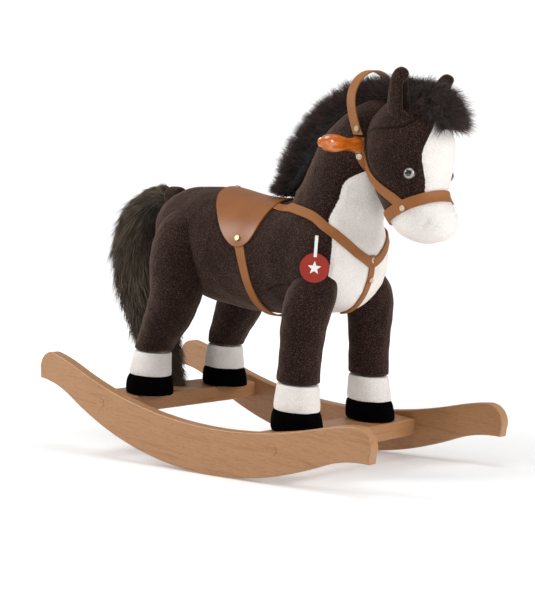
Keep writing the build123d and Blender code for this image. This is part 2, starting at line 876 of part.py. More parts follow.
arch_radius = crown_half_spread + leather / 2
arch_z = crown_top_z - leather / 2 - arch_radius
with BuildPart() as crown_strap:
    with BuildSketch(Plane.YZ.offset(crown_bend_x - crown_half_spread)):
        with BuildLine():
            Line((-arch_radius, crown_end_z), (-arch_radius, arch_z))
            ThreePointArc((-arch_radius, arch_z), (0, arch_z + arch_radius), (arch_radius, arch_z))
            Line((arch_radius, arch_z), (arch_radius, crown_end_z))
        trace(line_width=leather)
    extrude(amount=2 * crown_half_spread)
    extrude(side_band(*crown_route, width=crown_width), amount=2 * strap_reach, mode=Mode.INTERSECT)
    with BuildSketch(Plane.XZ.offset(-strap_reach)):
        with Locations((crown_rivet_x, crown_rivet_z)):
            Circle(rivet_shank_radius + pivot_clearance)
    extrude(amount=2 * strap_reach, mode=Mode.SUBTRACT)
save(crown_strap.part, "crown_strap")

# ---- Rivets ---------------------------------------------------------------------
def outer_plane_at(shape, start, direction):
    """The plane on the first face met when going from `start` along `direction`."""
    hits = shape.find_intersection_points(Axis(start, direction))
    point, normal = min(hits, key=lambda hit: (hit[0] - Vector(*start)).length)
    return Plane(origin=point, z_dir=normal)


rivet_seats = [outer_plane_at(saddle.part, (seat_rivet_x, 0, crown_top_z), (0, 0, -1))]
rivet_seats.append(outer_plane_at(martingale.part, (runner_half_length, 0, martingale_rivet_z), (-1, 0, 0)))
rivet_seats.append(outer_plane_at(breast_loop.part, (runner_half_length, 0, ring_rivet_z), (-1, 0, 0)))
for side, hand in SIDES:
    start_y = side * strap_reach
    rivet_seats.append(outer_plane_at(saddle.part, (flap_rivet_x, start_y, flap_rivet_z), (0, -side, 0)))
    rivet_seats.append(outer_plane_at(noseband.part, (noseband_rivet_x, start_y, noseband_rivet_z), (0, -side, 0)))
    rivet_seats.append(outer_plane_at(cheek_loop.part, (cheek_rivet_x, start_y, cheek_rivet_z), (0, -side, 0)))

with BuildPart() as tack_rivets:
    for seat in rivet_seats:
        with BuildSketch(seat):
            Circle(rivet_head_radius)
        extrude(amount=rivet_head_height)
save(tack_rivets.part, "tack_rivets")

# ============================ Tail ===========================================
with BuildPart() as tail_dock:
    with BuildSketch(Plane.YZ.offset(tail_pivot_x)):
        with Locations((0, dock_z)):
            Circle(dock_radius)
    extrude(amount=dock_x + dock_depth - seam_gap - tail_pivot_x)
    with BuildSketch(Plane.XZ.offset(-tail_knuckle_width)):
        with Locations((tail_pivot_x, dock_z)):
            Circle(tail_knuckle_radius + seam_gap)
    extrude(amount=2 * tail_knuckle_width, mode=Mode.SUBTRACT)
save(tail_dock.part, "tail_dock")

with BuildPart() as tail:
    loft(sections=[ring(x, 0, z, long, wide, tilt) for x, z, long, wide, tilt in tail_table])
    with BuildSketch(Plane.XZ.offset(-tail_knuckle_width / 2)):
        with Locations((tail_pivot_x, dock_z)):
            Circle(tail_knuckle_radius)
    extrude(amount=tail_knuckle_width)
save(tail.part, "tail")

# ============================ Hang tag =======================================
tag_turn = radians(tag_heading)
tag_plane = Plane(
    origin=(tag_x, tag_y, tag_centre_z),
    x_dir=(cos(tag_turn), sin(tag_turn), 0),
    z_dir=(sin(tag_turn), -cos(tag_turn), 0),
)
pin_rise = tag_top_z - tag_centre_z

with BuildPart() as tag_disc:
    with BuildSketch(tag_plane):
        Circle(tag_radius)
    extrude(amount=-tag_thickness)
save(tag_disc.part, "tag_disc")

with BuildPart() as tag_ribbon:
    ribbon_low = tag_radius - ribbon_lap
    with BuildSketch(tag_plane):
        with Locations((0, (ribbon_low + pin_rise + ribbon_width / 2) / 2)):
            Rectangle(ribbon_width, pin_rise + ribbon_width / 2 - ribbon_low)
        with Locations((0, pin_rise)):
            Circle(tag_pin_radius + pivot_clearance, mode=Mode.SUBTRACT)
    extrude(amount=ribbon_thickness)
save(tag_ribbon.part, "tag_ribbon")

with BuildPart() as tag_pin:
    with BuildSketch(tag_plane.offset(ribbon_thickness + pivot_gap)):
        with Locations((0, pin_rise)):
            Circle(tag_pin_head_radius)
    extrude(amount=tag_pin_head_height)
    with BuildSketch(tag_plane.offset(ribbon_thickness + pivot_gap)):
        with Locations((0, pin_rise)):
            Circle(tag_pin_radius)
    extrude(amount=-tag_pin_length)
    cut_away([torso_form.part, neck_form.part])
save(tag_pin.part, "tag_pin")

print(len(saved_names), "pieces")
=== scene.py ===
import math

import bmesh
import bpy
import numpy as np
from mathutils import Matrix, Vector
from mathutils.bvhtree import BVHTree


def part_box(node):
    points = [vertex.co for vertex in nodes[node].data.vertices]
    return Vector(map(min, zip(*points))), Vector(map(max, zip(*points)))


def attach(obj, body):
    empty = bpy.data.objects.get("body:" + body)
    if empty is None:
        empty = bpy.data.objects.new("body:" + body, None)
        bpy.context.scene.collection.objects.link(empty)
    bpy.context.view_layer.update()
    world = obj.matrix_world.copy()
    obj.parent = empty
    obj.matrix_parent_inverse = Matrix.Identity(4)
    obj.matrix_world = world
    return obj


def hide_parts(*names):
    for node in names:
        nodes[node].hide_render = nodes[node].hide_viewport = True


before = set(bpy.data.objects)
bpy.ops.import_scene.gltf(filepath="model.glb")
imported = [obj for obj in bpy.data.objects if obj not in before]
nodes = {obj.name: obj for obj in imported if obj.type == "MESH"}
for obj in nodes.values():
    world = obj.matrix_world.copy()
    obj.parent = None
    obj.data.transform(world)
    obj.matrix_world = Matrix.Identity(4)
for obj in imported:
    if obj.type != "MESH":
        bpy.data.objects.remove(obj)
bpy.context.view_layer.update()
mm = 0.001


def makeMesh(name, verts, faces, smooth=True):
    # an object at the origin from an array of points and lists of corners
    mesh = bpy.data.meshes.new(name)
    mesh.from_pydata(np.asarray(verts, float).tolist(), [], faces)
    mesh.polygons.foreach_set("use_smooth", [smooth] * len(mesh.polygons))
    mesh.update()
    obj = bpy.data.objects.new(name, mesh)
    bpy.context.scene.collection.objects.link(obj)
    return obj


def getPoints(obj):
    co = np.zeros(len(obj.data.vertices) * 3)
    obj.data.vertices.foreach_get("co", co)
    return co.reshape(-1, 3)


def setPoints(obj, co):
    obj.data.vertices.foreach_set("co", np.asarray(co, float).ravel())
    obj.data.update()


def getNormals(obj):
    n = np.zeros(len(obj.data.vertices) * 3)
    obj.data.vertex_normals.foreach_get("vector", n)
    return n.reshape(-1, 3)


def setAttribute(obj, name, values):
    # one number for each point, for the material to read
    layer = obj.data.attributes.new(name, "FLOAT", "POINT")
    layer.data.foreach_set("value", np.asarray(values, np.float32))


def smoothRows(table, at):
    # Catmull-Rom through a table's rows, read at row numbers that need not be whole
    t = np.asarray(table, float)
    p = np.vstack([2 * t[0] - t[1], t, 2 * t[-1] - t[-2]])
    s = np.clip(at, 0, len(t) - 1)
    i = np.minimum(s.astype(int), len(t) - 2)
    f = (s - i)[..., None]
    a, b, c, d = p[i], p[i + 1], p[i + 2], p[i + 3]
    square, cube = (2 * a - 5 * b + 4 * c - d) * f**2, (3 * b - a - 3 * c + d) * f**3
    return 0.5 * (2 * b + (c - a) * f + square + cube)


def ringTable(rows):
    # rows of x, y, z, half length, half width (mm) and tilt (degrees), in metres
    t = np.array(rows, float)
    t[:, :5] *= mm
    return t


def loftPoint(table, row, turn):
    # centre + a cos(turn) e1 + b sin(turn) e2, and the outward normal there;
    # e1 leans by the tilt in the XZ plane and e2 is Y
    r = smoothRows(table, row)
    tilt = np.radians(r[..., 5])
    e1 = np.stack([np.cos(tilt), 0 * tilt, -np.sin(tilt)], -1)
    e2 = np.array([0.0, 1.0, 0.0])
    c, s = np.cos(turn)[..., None], np.sin(turn)[..., None]
    a, b = r[..., 3:4], r[..., 4:5]
    normal = b * c * e1 + a * s * e2
    normal /= np.linalg.norm(normal, axis=-1, keepdims=True) + 1e-12
    return r[..., :3] + a * c * e1 + b * s * e2, normal


def loftGrid(table, rows, cols):
    # row numbers and turns of an even grid over a loft
    return np.meshgrid(np.linspace(0, len(table) - 1, rows),
                       np.linspace(0, 2 * math.pi, cols, endpoint=False), indexing="ij")


def loftMesh(name, table, rows, cols):
    # the loft as a closed grid, with one point at each end
    points, _ = loftPoint(table, *loftGrid(table, rows, cols))
    ends = table[[0, -1], :3]
    return outward(makeMesh(name, np.vstack([points.reshape(-1, 3), ends]), gridFaces(rows, cols)))


def gridFaces(rows, cols):
    # quads round a grid that closes on itself, and a fan at each end point
    r, c = np.meshgrid(np.arange(rows - 1), np.arange(cols), indexing="ij")
    a = r * cols + c
    b = r * cols + (c + 1) % cols
    quads = np.stack([a, b, b + cols, a + cols], -1).reshape(-1, 4).tolist()
    ring = np.arange(cols)
    after = (ring + 1) % cols
    first = np.stack([ring * 0 + rows * cols, after, ring], -1).tolist()
    rim = (rows - 1) * cols
    last = np.stack([ring * 0 + rows * cols + 1, rim + ring, rim + after], -1).tolist()
    return quads + first + last


def outward(obj):
    # merges doubles and turns every face outwards
    bm = bmesh.new()
    bm.from_mesh(obj.data)
    bmesh.ops.remove_doubles(bm, verts=bm.verts, dist=1e-6)
    bmesh.ops.recalc_face_normals(bm, faces=bm.faces)
    bm.to_mesh(obj.data)
    bm.free()
    obj.data.update()
    return obj


def joined(name, objs):
    bm = bmesh.new()
    for obj in objs:
        bm.from_mesh(obj.data)
        bpy.data.objects.remove(obj)
    mesh = bpy.data.meshes.new(name)
    bm.to_mesh(mesh)
    bm.free()
    obj = bpy.data.objects.new(name, mesh)
    bpy.context.scene.collection.objects.link(obj)
    return obj


def applyModifier(obj, kind, **settings):
    modifier = obj.modifiers.new(kind.lower(), kind)
    for key, value in settings.items():
        setattr(modifier, key, value)
    evaluated = obj.evaluated_get(bpy.context.evaluated_depsgraph_get())
    mesh = bpy.data.meshes.new_from_object(evaluated)
    obj.modifiers.clear()
    obj.data = mesh
    mesh.polygons.foreach_set("use_smooth", [True] * len(mesh.polygons))
    return obj


def subdivide(obj):
    return applyModifier(obj, "SUBSURF", levels=1, render_levels=1)


def relax(obj, rounds, strength=0.5):
    # each point moves towards the mean of its neighbours
    edges = np.zeros(len(obj.data.edges) * 2, int)
    obj.data.edges.foreach_get("vertices", edges)
    a, b = edges.reshape(-1, 2).T
    p = getPoints(obj)
    degree = np.bincount(np.concatenate([a, b]), minlength=len(p))[:, None]
    for _ in range(rounds):
        total = np.stack([np.bincount(a, p[b, k], len(p)) + np.bincount(b, p[a, k], len(p))
                          for k in range(3)], -1)
        p += strength * (total / degree - p)
    setPoints(obj, p)
    return obj


def ripple(p, wavelength, seed):
    # a smooth bumpy field: gain times the mean of sine waves in random directions
    waves, gain = 8, 1.7
    rng = np.random.default_rng(seed)
    d = rng.normal(size=(waves, 3))
    d *= (2 * math.pi / wavelength * rng.uniform(0.6, 1.6, waves) / np.linalg.norm(d, axis=1))[:, None]
    return np.sin(p @ d.T + rng.uniform(0, 2 * math.pi, waves)).mean(1) * gain


def surfaceSamples(names, spacing, seed):
    # random points spread evenly over the triangles of CAD nodes
    rng = np.random.default_rng(seed)
    found = []
    for name in names:
        mesh = nodes[name].data
        p = getPoints(nodes[name])
        mesh.calc_loop_triangles()
        tri = np.zeros(len(mesh.loop_triangles) * 3, int)
        mesh.loop_triangles.foreach_get("vertices", tri)
        a, b, c = (p[tri.reshape(-1, 3)[:, k]] for k in range(3))
        area = np.linalg.norm(np.cross(b - a, c - a), axis=1) / 2
        pick = rng.choice(len(area), max(8, int(area.sum() / spacing**2)), p=area / area.sum())
        u, v = rng.random((2, len(pick), 1))
        flip = u + v > 1
        u, v = np.where(flip, 1 - u, u), np.where(flip, 1 - v, v)
        found.append(a[pick] + u * (b - a)[pick] + v * (c - a)[pick])
    return np.vstack(found)


def nearest(points, targets, reach, chunk=600):
    # distance from each point to the nearest target, no more than the reach
    best = np.full(len(points), reach)
    order = np.argsort(points[:, 0])
    targets = targets[np.argsort(targets[:, 0])]
    for part in np.array_split(order, max(1, len(points) // chunk)):
        p = points[part]
        low, high = np.searchsorted(targets[:, 0], [p[:, 0].min() - reach, p[:, 0].max() + reach])
        near = targets[low:high]
        near = near[np.abs(near[:, 2] - p[:, 2].mean()) < reach + np.ptp(p[:, 2])]
        if len(near):
            d2 = (p**2).sum(1)[:, None] + (near**2).sum(1)[None] - 2 * p @ near.T
            best[part] = np.minimum(reach, np.sqrt(np.maximum(d2.min(1), 0)))
    return best


def ease(x, low, high):
    # 0 below low, 1 above high, smooth between
    t = np.clip((x - low) / (high - low), 0, 1)
    return t * t * (3 - 2 * t)


def outlineCurve(points, count=400):
    # a closed smooth curve through points in mm, in metres
    p = np.asarray(points, float)
    p = np.vstack([p[-2:], p, p[:3]])
    return smoothRows(p, np.linspace(2, len(p) - 3, count, endpoint=False)) * mm


def insideDistance(p, outline):
    # distance to the outline's nearest edge point, positive inside it
    a, b = outline, np.roll(outline, -1, 0)
    result = np.zeros(len(p))
    for part in np.array_split(np.arange(len(p)), max(1, len(p) // 2000)):
        q = p[part][:, None]
        t = np.clip(((q - a) * (b - a)).sum(-1) / ((b - a) ** 2).sum(-1), 0, 1)[..., None]
        d = np.linalg.norm(q - a - t * (b - a), axis=-1).min(1)
        crosses = (a[:, 1] > q[..., 1]) != (b[:, 1] > q[..., 1])
        height = np.where(b[:, 1] == a[:, 1], 1, b[:, 1] - a[:, 1])
        x = a[:, 0] + (q[..., 1] - a[:, 1]) / height * (b - a)[:, 0]
        odd = (crosses & (q[..., 0] < x)).sum(1) % 2
        result[part] = np.where(odd == 1, d, -d)
    return result


def newMaterial(name):
    material = bpy.data.materials.new(name)
    material.use_nodes = True
    tree = material.node_tree
    coords = tree.nodes.new("ShaderNodeTexCoord").outputs["Object"]
    return material, tree, tree.nodes["Principled BSDF"], coords


def setSockets(shader, values):
    for name, value in values.items():
        shader.inputs[name].default_value = value


def addNode(tree, kind, inputs, **settings):
    node = tree.nodes.new(kind)
    for key, value in settings.items():
        setattr(node, key, value)
    for key, value in inputs.items():
        if isinstance(value, bpy.types.NodeSocket):
            tree.links.new(value, node.inputs[key])
        else:
            node.inputs[key].default_value = value
    return node


def noise(tree, coords, scale, detail=3.0, roughness=0.55, stretch=None):
    if stretch is not None:
        coords = addNode(tree, "ShaderNodeMapping", {"Vector": coords, "Scale": stretch}).outputs[0]
    return addNode(tree, "ShaderNodeTexNoise",
                   {"Vector": coords, "Scale": scale, "Detail": detail, "Roughness": roughness}).outputs["Fac"]


def ramp(tree, fac, *stops):
    node = addNode(tree, "ShaderNodeValToRGB", {"Fac": fac})
    for _ in stops[2:]:
        node.color_ramp.elements.new(0.5)
    for element, (position, colour) in zip(node.color_ramp.elements, stops):
        element.position = position
        element.color = (*colour, 1)
    return node.outputs["Color"]


def mix(tree, fac, a, b, blend="MIX"):
    node = tree.nodes.new("ShaderNodeMix")
    node.data_type, node.blend_type = "RGBA", blend
    for socket, value in ((node.inputs[0], fac), (node.inputs[6], a), (node.inputs[7], b)):
        if isinstance(value, bpy.types.NodeSocket):
            tree.links.new(value, socket)
        else:
            socket.default_value = (*value, 1) if socket.type == "RGBA" else value
    return node.outputs[2]


def maths(tree, operation, *values):
    return addNode(tree, "ShaderNodeMath", dict(enumerate(values)), operation=operation).outputs[0]


def fade(tree, value, low, high):
    return addNode(tree, "ShaderNodeMapRange", {"Value": value, "From Min": low, "From Max": high}).outputs[0]


def attribute(tree, name):
    return addNode(tree, "ShaderNodeAttribute", {}, attribute_name=name).outputs["Fac"]


def bump(tree, shader, height, distance, strength=1.0):
    node = addNode(tree, "ShaderNodeBump", {"Height": height, "Distance": distance, "Strength": strength})
    tree.links.new(node.outputs[0], shader.inputs["Normal"])


def dull(colour, share):
    return tuple(share * c for c in colour)


furTones = {
    # root, middle and tip colours of each short pile
    "brown": ((0.0050, 0.0021, 0.0017), (0.019, 0.0092, 0.0072), (0.082, 0.047, 0.037)),
    "white": ((0.76, 0.71, 0.665), (0.85, 0.805, 0.765), (0.90, 0.865, 0.83)),
    "black": ((0.0003, 0.0003, 0.0003), (0.0009, 0.0008, 0.0008), (0.003, 0.0026, 0.0025)),
    # darker tones for the ear hollow: painted shade
    "earHollowShade": ((0.004, 0.0022, 0.002), (0.014, 0.0085, 0.0075), (0.030, 0.019, 0.016)),
    "pileScale": 560.0,
    "tuftScale": 150.0,
    "pileHeight": 0.0022,
    "edgeWobble": 0.0022,
}


def pileColour(tree, coords, tones):
    # fine specks of root and tip over soft brushed patches
    specks = noise(tree, coords, furTones["pileScale"], 2.0, 0.7)
    brushed = noise(tree, coords, 20.0, 4.0, 0.6)
    colour = ramp(tree, specks, (0.36, tones[0]), (0.52, tones[1]), (0.70, tones[2]))
    low, high = (0.95, 1.03) if tones[0][0] > 0.5 else (0.78, 1.25)
    patches = ramp(tree, brushed, (0.3, (low,) * 3), (0.7, (high,) * 3))
    return mix(tree, 1.0, colour, patches, "MULTIPLY")


def plush(name, tones, second=None, sheen=0.42, tint=(0.62, 0.44, 0.36), shine=0.08):
    # the attribute "second" is above zero where the second fur grows; on the ears that second fur is the darker
    # painted shade of the hollow
    material, tree, shader, coords = newMaterial(name)
    colour = pileColour(tree, coords, furTones[tones])
    if second:
        uneven = maths(tree, "SUBTRACT", noise(tree, coords, 300.0), 0.5)
        wobble = maths(tree, "MULTIPLY", uneven, furTones["edgeWobble"])
        edge = maths(tree, "ADD", attribute(tree, "second"), wobble)
        inside = fade(tree, edge, -0.0003, 0.0003)
        colour = mix(tree, inside, colour, pileColour(tree, coords, furTones[second]))
    # along the seam grooves the colour darkens below the roots' tone: painted shade in the crease
    seamShade = maths(tree, "MULTIPLY", attribute(tree, "seamShade"), 0.8)
    colour = mix(tree, seamShade, colour, dull(furTones["brown"][0], 0.6))
    tree.links.new(colour, shader.inputs["Base Color"])
    setSockets(shader, {"Roughness": 0.95, "Specular IOR Level": shine, "Sheen Weight": sheen,
                        "Sheen Roughness": 0.4, "Sheen Tint": (*tint, 1)})
    tufts = noise(tree, coords, furTones["tuftScale"], 3.0, 0.6)
    pile = noise(tree, coords, furTones["pileScale"], 2.0, 0.7)
    bump(tree, shader, maths(tree, "ADD", tufts, pile), furTones["pileHeight"] * 0.6, 0.9)
    return material


def longFur(name, root, tip):
    # every strand has its own tone and pales towards its tip
    material, tree, shader, coords = newMaterial(name)
    mixed = maths(tree, "ADD", maths(tree, "MULTIPLY", attribute(tree, "tone"), 0.55),
                  maths(tree, "MULTIPLY", attribute(tree, "along"), 0.45))
    patches = maths(tree, "ADD", noise(tree, coords, 30.0, 2.0), 0.5)
    colour = ramp(tree, maths(tree, "MULTIPLY", mixed, patches), (0.08, root), (0.85, tip))
    tree.links.new(colour, shader.inputs["Base Color"])
    setSockets(shader, {"Roughness": 0.55, "Specular IOR Level": 0.35, "Sheen Weight": 0.2,
                        "Sheen Tint": (0.8, 0.7, 0.65, 1)})
    return material


def wood(name, light, dark, stretch):
    # long soft bands with short dark flecks, along the grain
    material, tree, shader, coords = newMaterial(name)
    bands = noise(tree, coords, 9.0, 6.0, 0.6, stretch)
    fine = noise(tree, coords, 55.0, 4.0, 0.7, stretch)
    flecks = noise(tree, coords, 110.0, 2.0, 0.5, tuple(1 + (s - 1) * 0.45 for s in stretch))
    colour = ramp(tree, bands, (0.3, dark), (0.5, light), (0.75, dull(light, 0.84)))
    colour = mix(tree, 0.35, colour, ramp(tree, fine, (0.35, dark), (0.6, light)))
    fleckShare = maths(tree, "MULTIPLY", fade(tree, flecks, 0.60, 0.66), 0.5)
    colour = mix(tree, fleckShare, colour, dull(dark, 0.8))
    tree.links.new(colour, shader.inputs["Base Color"])
    setSockets(shader, {"Roughness": 0.45, "Coat Weight": 0.12})
    bump(tree, shader, fine, 0.0003, 0.4)
    return material


def leather(name, colour, roughness, coat):
    # soft clouds of tone and a fine pebbled grain
    material, tree, shader, coords = newMaterial(name)
    cloud = noise(tree, coords, 16.0, 4.0, 0.6)
    pebbles = addNode(tree, "ShaderNodeTexVoronoi", {"Vector": coords, "Scale": 650.0}).outputs["Distance"]
    dark, pale = dull(colour, 0.78), dull(colour, 1.15)
    shade = ramp(tree, cloud, (0.3, dark), (0.55, colour), (0.8, pale))
    grain = ramp(tree, pebbles, (0.1, dark), (0.5, pale))
    tree.links.new(mix(tree, 0.25, shade, grain), shader.inputs["Base Color"])
    setSockets(shader, {"Roughness": roughness, "Coat Weight": coat, "Coat Roughness": 0.3})
    bump(tree, shader, pebbles, 0.0004, 0.25)
    return material


def speckled(name, colours, scale, roughness, metallic=0.0, coat=0.0, stretch=None):
    # two tones in fine clouds, for metal, lacquer, card and ribbon
    material, tree, shader, coords = newMaterial(name)
    clouds = noise(tree, coords, scale, 4.0, 0.6, stretch)
    tree.links.new(ramp(tree, clouds, (0.3, colours[0]), (0.65, colours[1])), shader.inputs["Base Color"])
    setSockets(shader, {"Roughness": roughness, "Metallic": metallic, "Coat Weight": coat,
                        "Coat Roughness": 0.05})
    return material


eyeLook = {
    # the left eye in metres, the way it looks, and the cosines where pupil and iris end
    "centre": (303 * mm, 50.5 * mm, 499 * mm), "radius": 9.5 * mm, "gaze": (0.34, 0.93, 0.14),
    "pupil": 0.86, "pupilEdge": 0.03, "iris": 0.55, "irisEdge": 0.05,
}


def eyePlastic(name):
    # the angle from the gaze gives pupil, iris ring and dark rim;
    # both eyes share one pattern through the size of Y
    material, tree, shader, coords = newMaterial(name)
    parts = addNode(tree, "ShaderNodeSeparateXYZ", {0: coords}).outputs
    side = maths(tree, "ABSOLUTE", parts[1])
    axes = zip((parts[0], side, parts[2]), eyeLook["centre"], eyeLook["gaze"])
    terms = [maths(tree, "MULTIPLY", maths(tree, "SUBTRACT", axis, c), g / eyeLook["radius"])
             for axis, c, g in axes]
    facing = maths(tree, "ADD", maths(tree, "ADD", terms[0], terms[1]), terms[2])
    streaks = noise(tree, coords, 900.0, 2.0)
    iris = ramp(tree, streaks, (0.3, (0.16, 0.13, 0.11)), (0.7, (0.42, 0.38, 0.34)))
    inIris = fade(tree, facing, eyeLook["iris"] - eyeLook["irisEdge"], eyeLook["iris"])
    colour = mix(tree, inIris, (0.01, 0.008, 0.008), iris)
    inPupil = fade(tree, facing, eyeLook["pupil"] - eyeLook["pupilEdge"], eyeLook["pupil"])
    colour = mix(tree, inPupil, colour, (0.003, 0.003, 0.003))
    tree.links.new(colour, shader.inputs["Base Color"])
    setSockets(shader, {"Roughness": 0.15, "Coat Weight": 1.0, "Coat Roughness": 0.02})
    return material


brownPlush = plush("brown plush", "brown")
twoPlush = plush("brown and white plush", "brown", "white")
earPlush = plush("ear plush", "brown", "earHollowShade")
whitePlush = plush("white plush", "white", sheen=0.1, tint=(1, 0.95, 0.9))
blackPlush = plush("black plush", "black", sheen=0.012, tint=(0.4, 0.35, 0.35), shine=0.02)
maneFur = longFur("dark mane fur", (0.003, 0.0018, 0.0016), (0.085, 0.052, 0.046))
tailFur = longFur("olive tail fur", (0.006, 0.004, 0.0022), (0.125, 0.088, 0.052))
beechTones = ((0.43, 0.215, 0.092), (0.30, 0.135, 0.050))
beech = wood("beech", *beechTones, (1.0, 14.0, 14.0))
crossBeech = wood("beech across", *beechTones, (14.0, 1.0, 14.0))
innerPine = wood("inner pine", (0.62, 0.45, 0.27), (0.45, 0.30, 0.16), (14.0, 14.0, 1.0))
strapLeather = leather("strap leather", (0.275, 0.092, 0.0125), 0.6, 0.0)
saddleLeather = leather("saddle leather", (0.245, 0.077, 0.010), 0.45, 0.08)
agedBrass = speckled("aged brass", ((0.30, 0.24, 0.15), (0.66, 0.56, 0.38)), 420.0, 0.33, metallic=1.0)
zincSteel = speckled("zinc steel", ((0.42, 0.42, 0.42), (0.62, 0.62, 0.62)), 300.0, 0.4, metallic=1.0)
orangeLacquer = speckled("orange lacquer", ((0.34, 0.060, 0.003), (0.62, 0.155, 0.008)), 26.0, 0.25,
                         coat=1.0, stretch=(9.0, 1.0, 9.0))
redCard = speckled("red card", ((0.29, 0.010, 0.001), (0.34, 0.013, 0.002)), 300.0, 0.6)
whiteWeave = speckled("white ribbon", ((0.78, 0.77, 0.74), (0.90, 0.89, 0.87)), 900.0, 0.7)
eyeShine = eyePlastic("eye plastic")


def dress(material, *names):
    for name in names:
        nodes[name].data.materials.clear()
        nodes[name].data.materials.append(material)


dress(beech, "runner_right", "runner_left", "bolt_plugs")
dress(crossBeech, "front_crossbar", "rear_crossbar", "front_yoke", "rear_yoke", "locating_dowels")
dress(innerPine, "leg_posts", "back_rail", "neck_post", "head_block")
dress(zincSteel, "runner_bolts", "barrel_nuts", "post_screws", "frame_screws", "grip_rod", "grip_washers",
      "eye_washers")
dress(orangeLacquer, "right_grip", "left_grip")
dress(strapLeather, "girth_strap", "right_breast_strap", "left_breast_strap", "martingale_strap",
      "noseband", "right_cheek_strap", "left_cheek_strap", "crown_strap")
dress(saddleLeather, "saddle")
dress(agedBrass, "tack_rivets", "crown_rivets")
dress(redCard, "tag_disc")
dress(whiteWeave, "tag_ribbon", "tag_pin")
dress(eyeShine, "eyes")
print("materials on the rigid parts")

horse = {
    # x, y, z, half height, half width, tilt: the barrel from tail end to chest
    "barrel": ((-255, 0, 376, 3, 3, 90), (-252, 0, 376, 20, 22, 90), (-240, 0, 375, 42, 48, 90),
               (-205, 0, 367, 74, 82, 90), (-155, 0, 356, 94, 96, 90), (-100, 0, 349, 100, 99, 90),
               (-50, 0, 344, 98, 98, 90), (0, 0, 342, 96, 96, 90), (60, 0, 346, 96, 94, 90),
               (115, 0, 355, 96, 92, 90), (155, 0, 360, 94, 86, 90), (181, 0, 362, 84, 76, 90),
               (197, 0, 361, 62, 54, 90), (207, 0, 358, 30, 24, 90), (209, 0, 358, 4, 4, 90)),
    # the same from inside the barrel to the poll
    "neck": ((138, 0, 365, 40, 45, 0), (138, 0, 375, 58, 64, 0), (133, 0, 430, 77, 76, 0),
             (146, 0, 470, 74, 68, 4), (160, 0, 510, 72, 62, 8), (182, 0, 550, 67, 57, 12),
             (208, 0, 583, 50, 47, 18), (232, 0, 601, 30, 30, 24), (234, 0, 604, 5, 5, 24)),
    # y and z of the white chest patch seen from the front
    "patch": ((0, 258), (34, 272), (66, 304), (74, 345), (69, 400), (60, 450), (50, 488), (0, 512),
              (-50, 488), (-60, 450), (-69, 400), (-74, 345), (-66, 304), (-34, 272)),
    "patchBack": 118,
    # the shoulders stand out over the front legs: x, z, how far, how wide,
    # and the y over which the rise sets in
    "shoulder": (150, 324, 13, 42, 40),
    "voxel": 4.6,
    "fill": 0.85,
}

horseHead = {
    # the head from under the chin to the poll
    "rings": ((306, 0, 393, 4, 4, 0), (306, 0, 395, 17, 15, 0), (305, 0, 403, 38, 32, 0),
              (301, 0, 420, 54, 44, 0), (291, 0, 444, 62, 50, 0), (273, 0, 470, 58, 56, 0),
              (267, 0, 500, 67, 64, 0), (264, 0, 536, 73, 66, 0), (260, 0, 572, 68, 60, 0),
              (262, 0, 600, 48, 42, 0), (262, 0, 614, 24, 22, 0), (262, 0, 616, 4, 4, 0)),
    "blaze": ((0, 440), (32, 452), (31, 480), (42, 518), (41, 540), (24, 572), (0, 600),
              (-24, 572), (-41, 540), (-42, 518), (-31, 480), (-32, 452)),
    "blazeBack": 262,
    "bandFront": (337, 471),
    "bandSlope": 27,
    "voxel": 3.6,
    "fill": 0.9,
}

legs = {
    # x and inward y from the hoof's centre, height above the bar, radius
    "front": ((0, 0, 0, 43), (-4, 1, 30, 39.5), (-8, 4, 75, 35), (-10, 7, 125, 34.5), (-10, 11, 172, 38),
              (-9, 18, 204, 40.5), (-8, 28, 232, 37), (-6, 44, 256, 26)),
    "rear": ((0, 0, 0, 43), (-3, 1, 28, 39.5), (-2, 4, 75, 34), (8, 7, 100, 36.5), (24, 8, 132, 42),
             (40, 9, 180, 46), (38, 12, 222, 50), (35, 18, 262, 49), (32, 27, 300, 40), (30, 40, 325, 24)),
    "hoofRadius": 43,
    "hoofTop": 32,
    "sockTop": 75,
    # how far each band swells, and how far its edges tuck in over the length of the roll
    "bands": {"leg": (1.0, 2.5), "sock": (0.2, 3.0), "hoof": (1.2, 3.5)},
    "roll": 3.0,
    "fill": 0.85,
}

stuffing = {
    "pressure": 4.0, "frames": 20, "quality": 3, "tension": 12.0, "bending": 0.4,
    # mm: how far inside the cloth starts, the most it may move, and the press and reach of the tack
    "start": 1.2, "cap": 3.0, "bed": 1.0, "pressed": 3.0, "reach": 15.0,
    # mm between the sample points on the straps, and their seed
    "spacing": 2.2, "seed": 11,
}


def cuff(end, hand, low, high, swell, tuck, rows):
    # a band of the leg between two heights, whose ends roll in:
    # radius + swell - tuck e^(-distance to the end / roll)
    table = np.asarray(legs[end], float)
    full = smoothRows(table, np.linspace(0, len(table) - 1, 300))
    side = -1 if hand == "right" else 1
    boxLow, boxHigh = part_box(f"{end}_{hand}_hoof")
    x = boxHigh.x / mm - legs["hoofRadius"]
    y = (boxLow.y if side < 0 else boxHigh.y) / mm - side * legs["hoofRadius"]
    h = np.linspace(low, high, rows)
    dx, inward, radius = (np.interp(h, full[:, 2], full[:, k]) for k in (0, 1, 3))
    radius = radius + swell - tuck * np.exp(-np.minimum(h - low, high - h) / legs["roll"])
    rings = np.stack([x + dx, y - side * inward, barTop + h, radius, radius, 0 * h], -1)
    caps = rings[[0, 0, -1, -1]]
    caps[:, 3:5] *= np.array([0.1, 0.6, 0.6, 0.1])[:, None]
    return ringTable(np.vstack([caps[:2], rings, caps[2:]]))


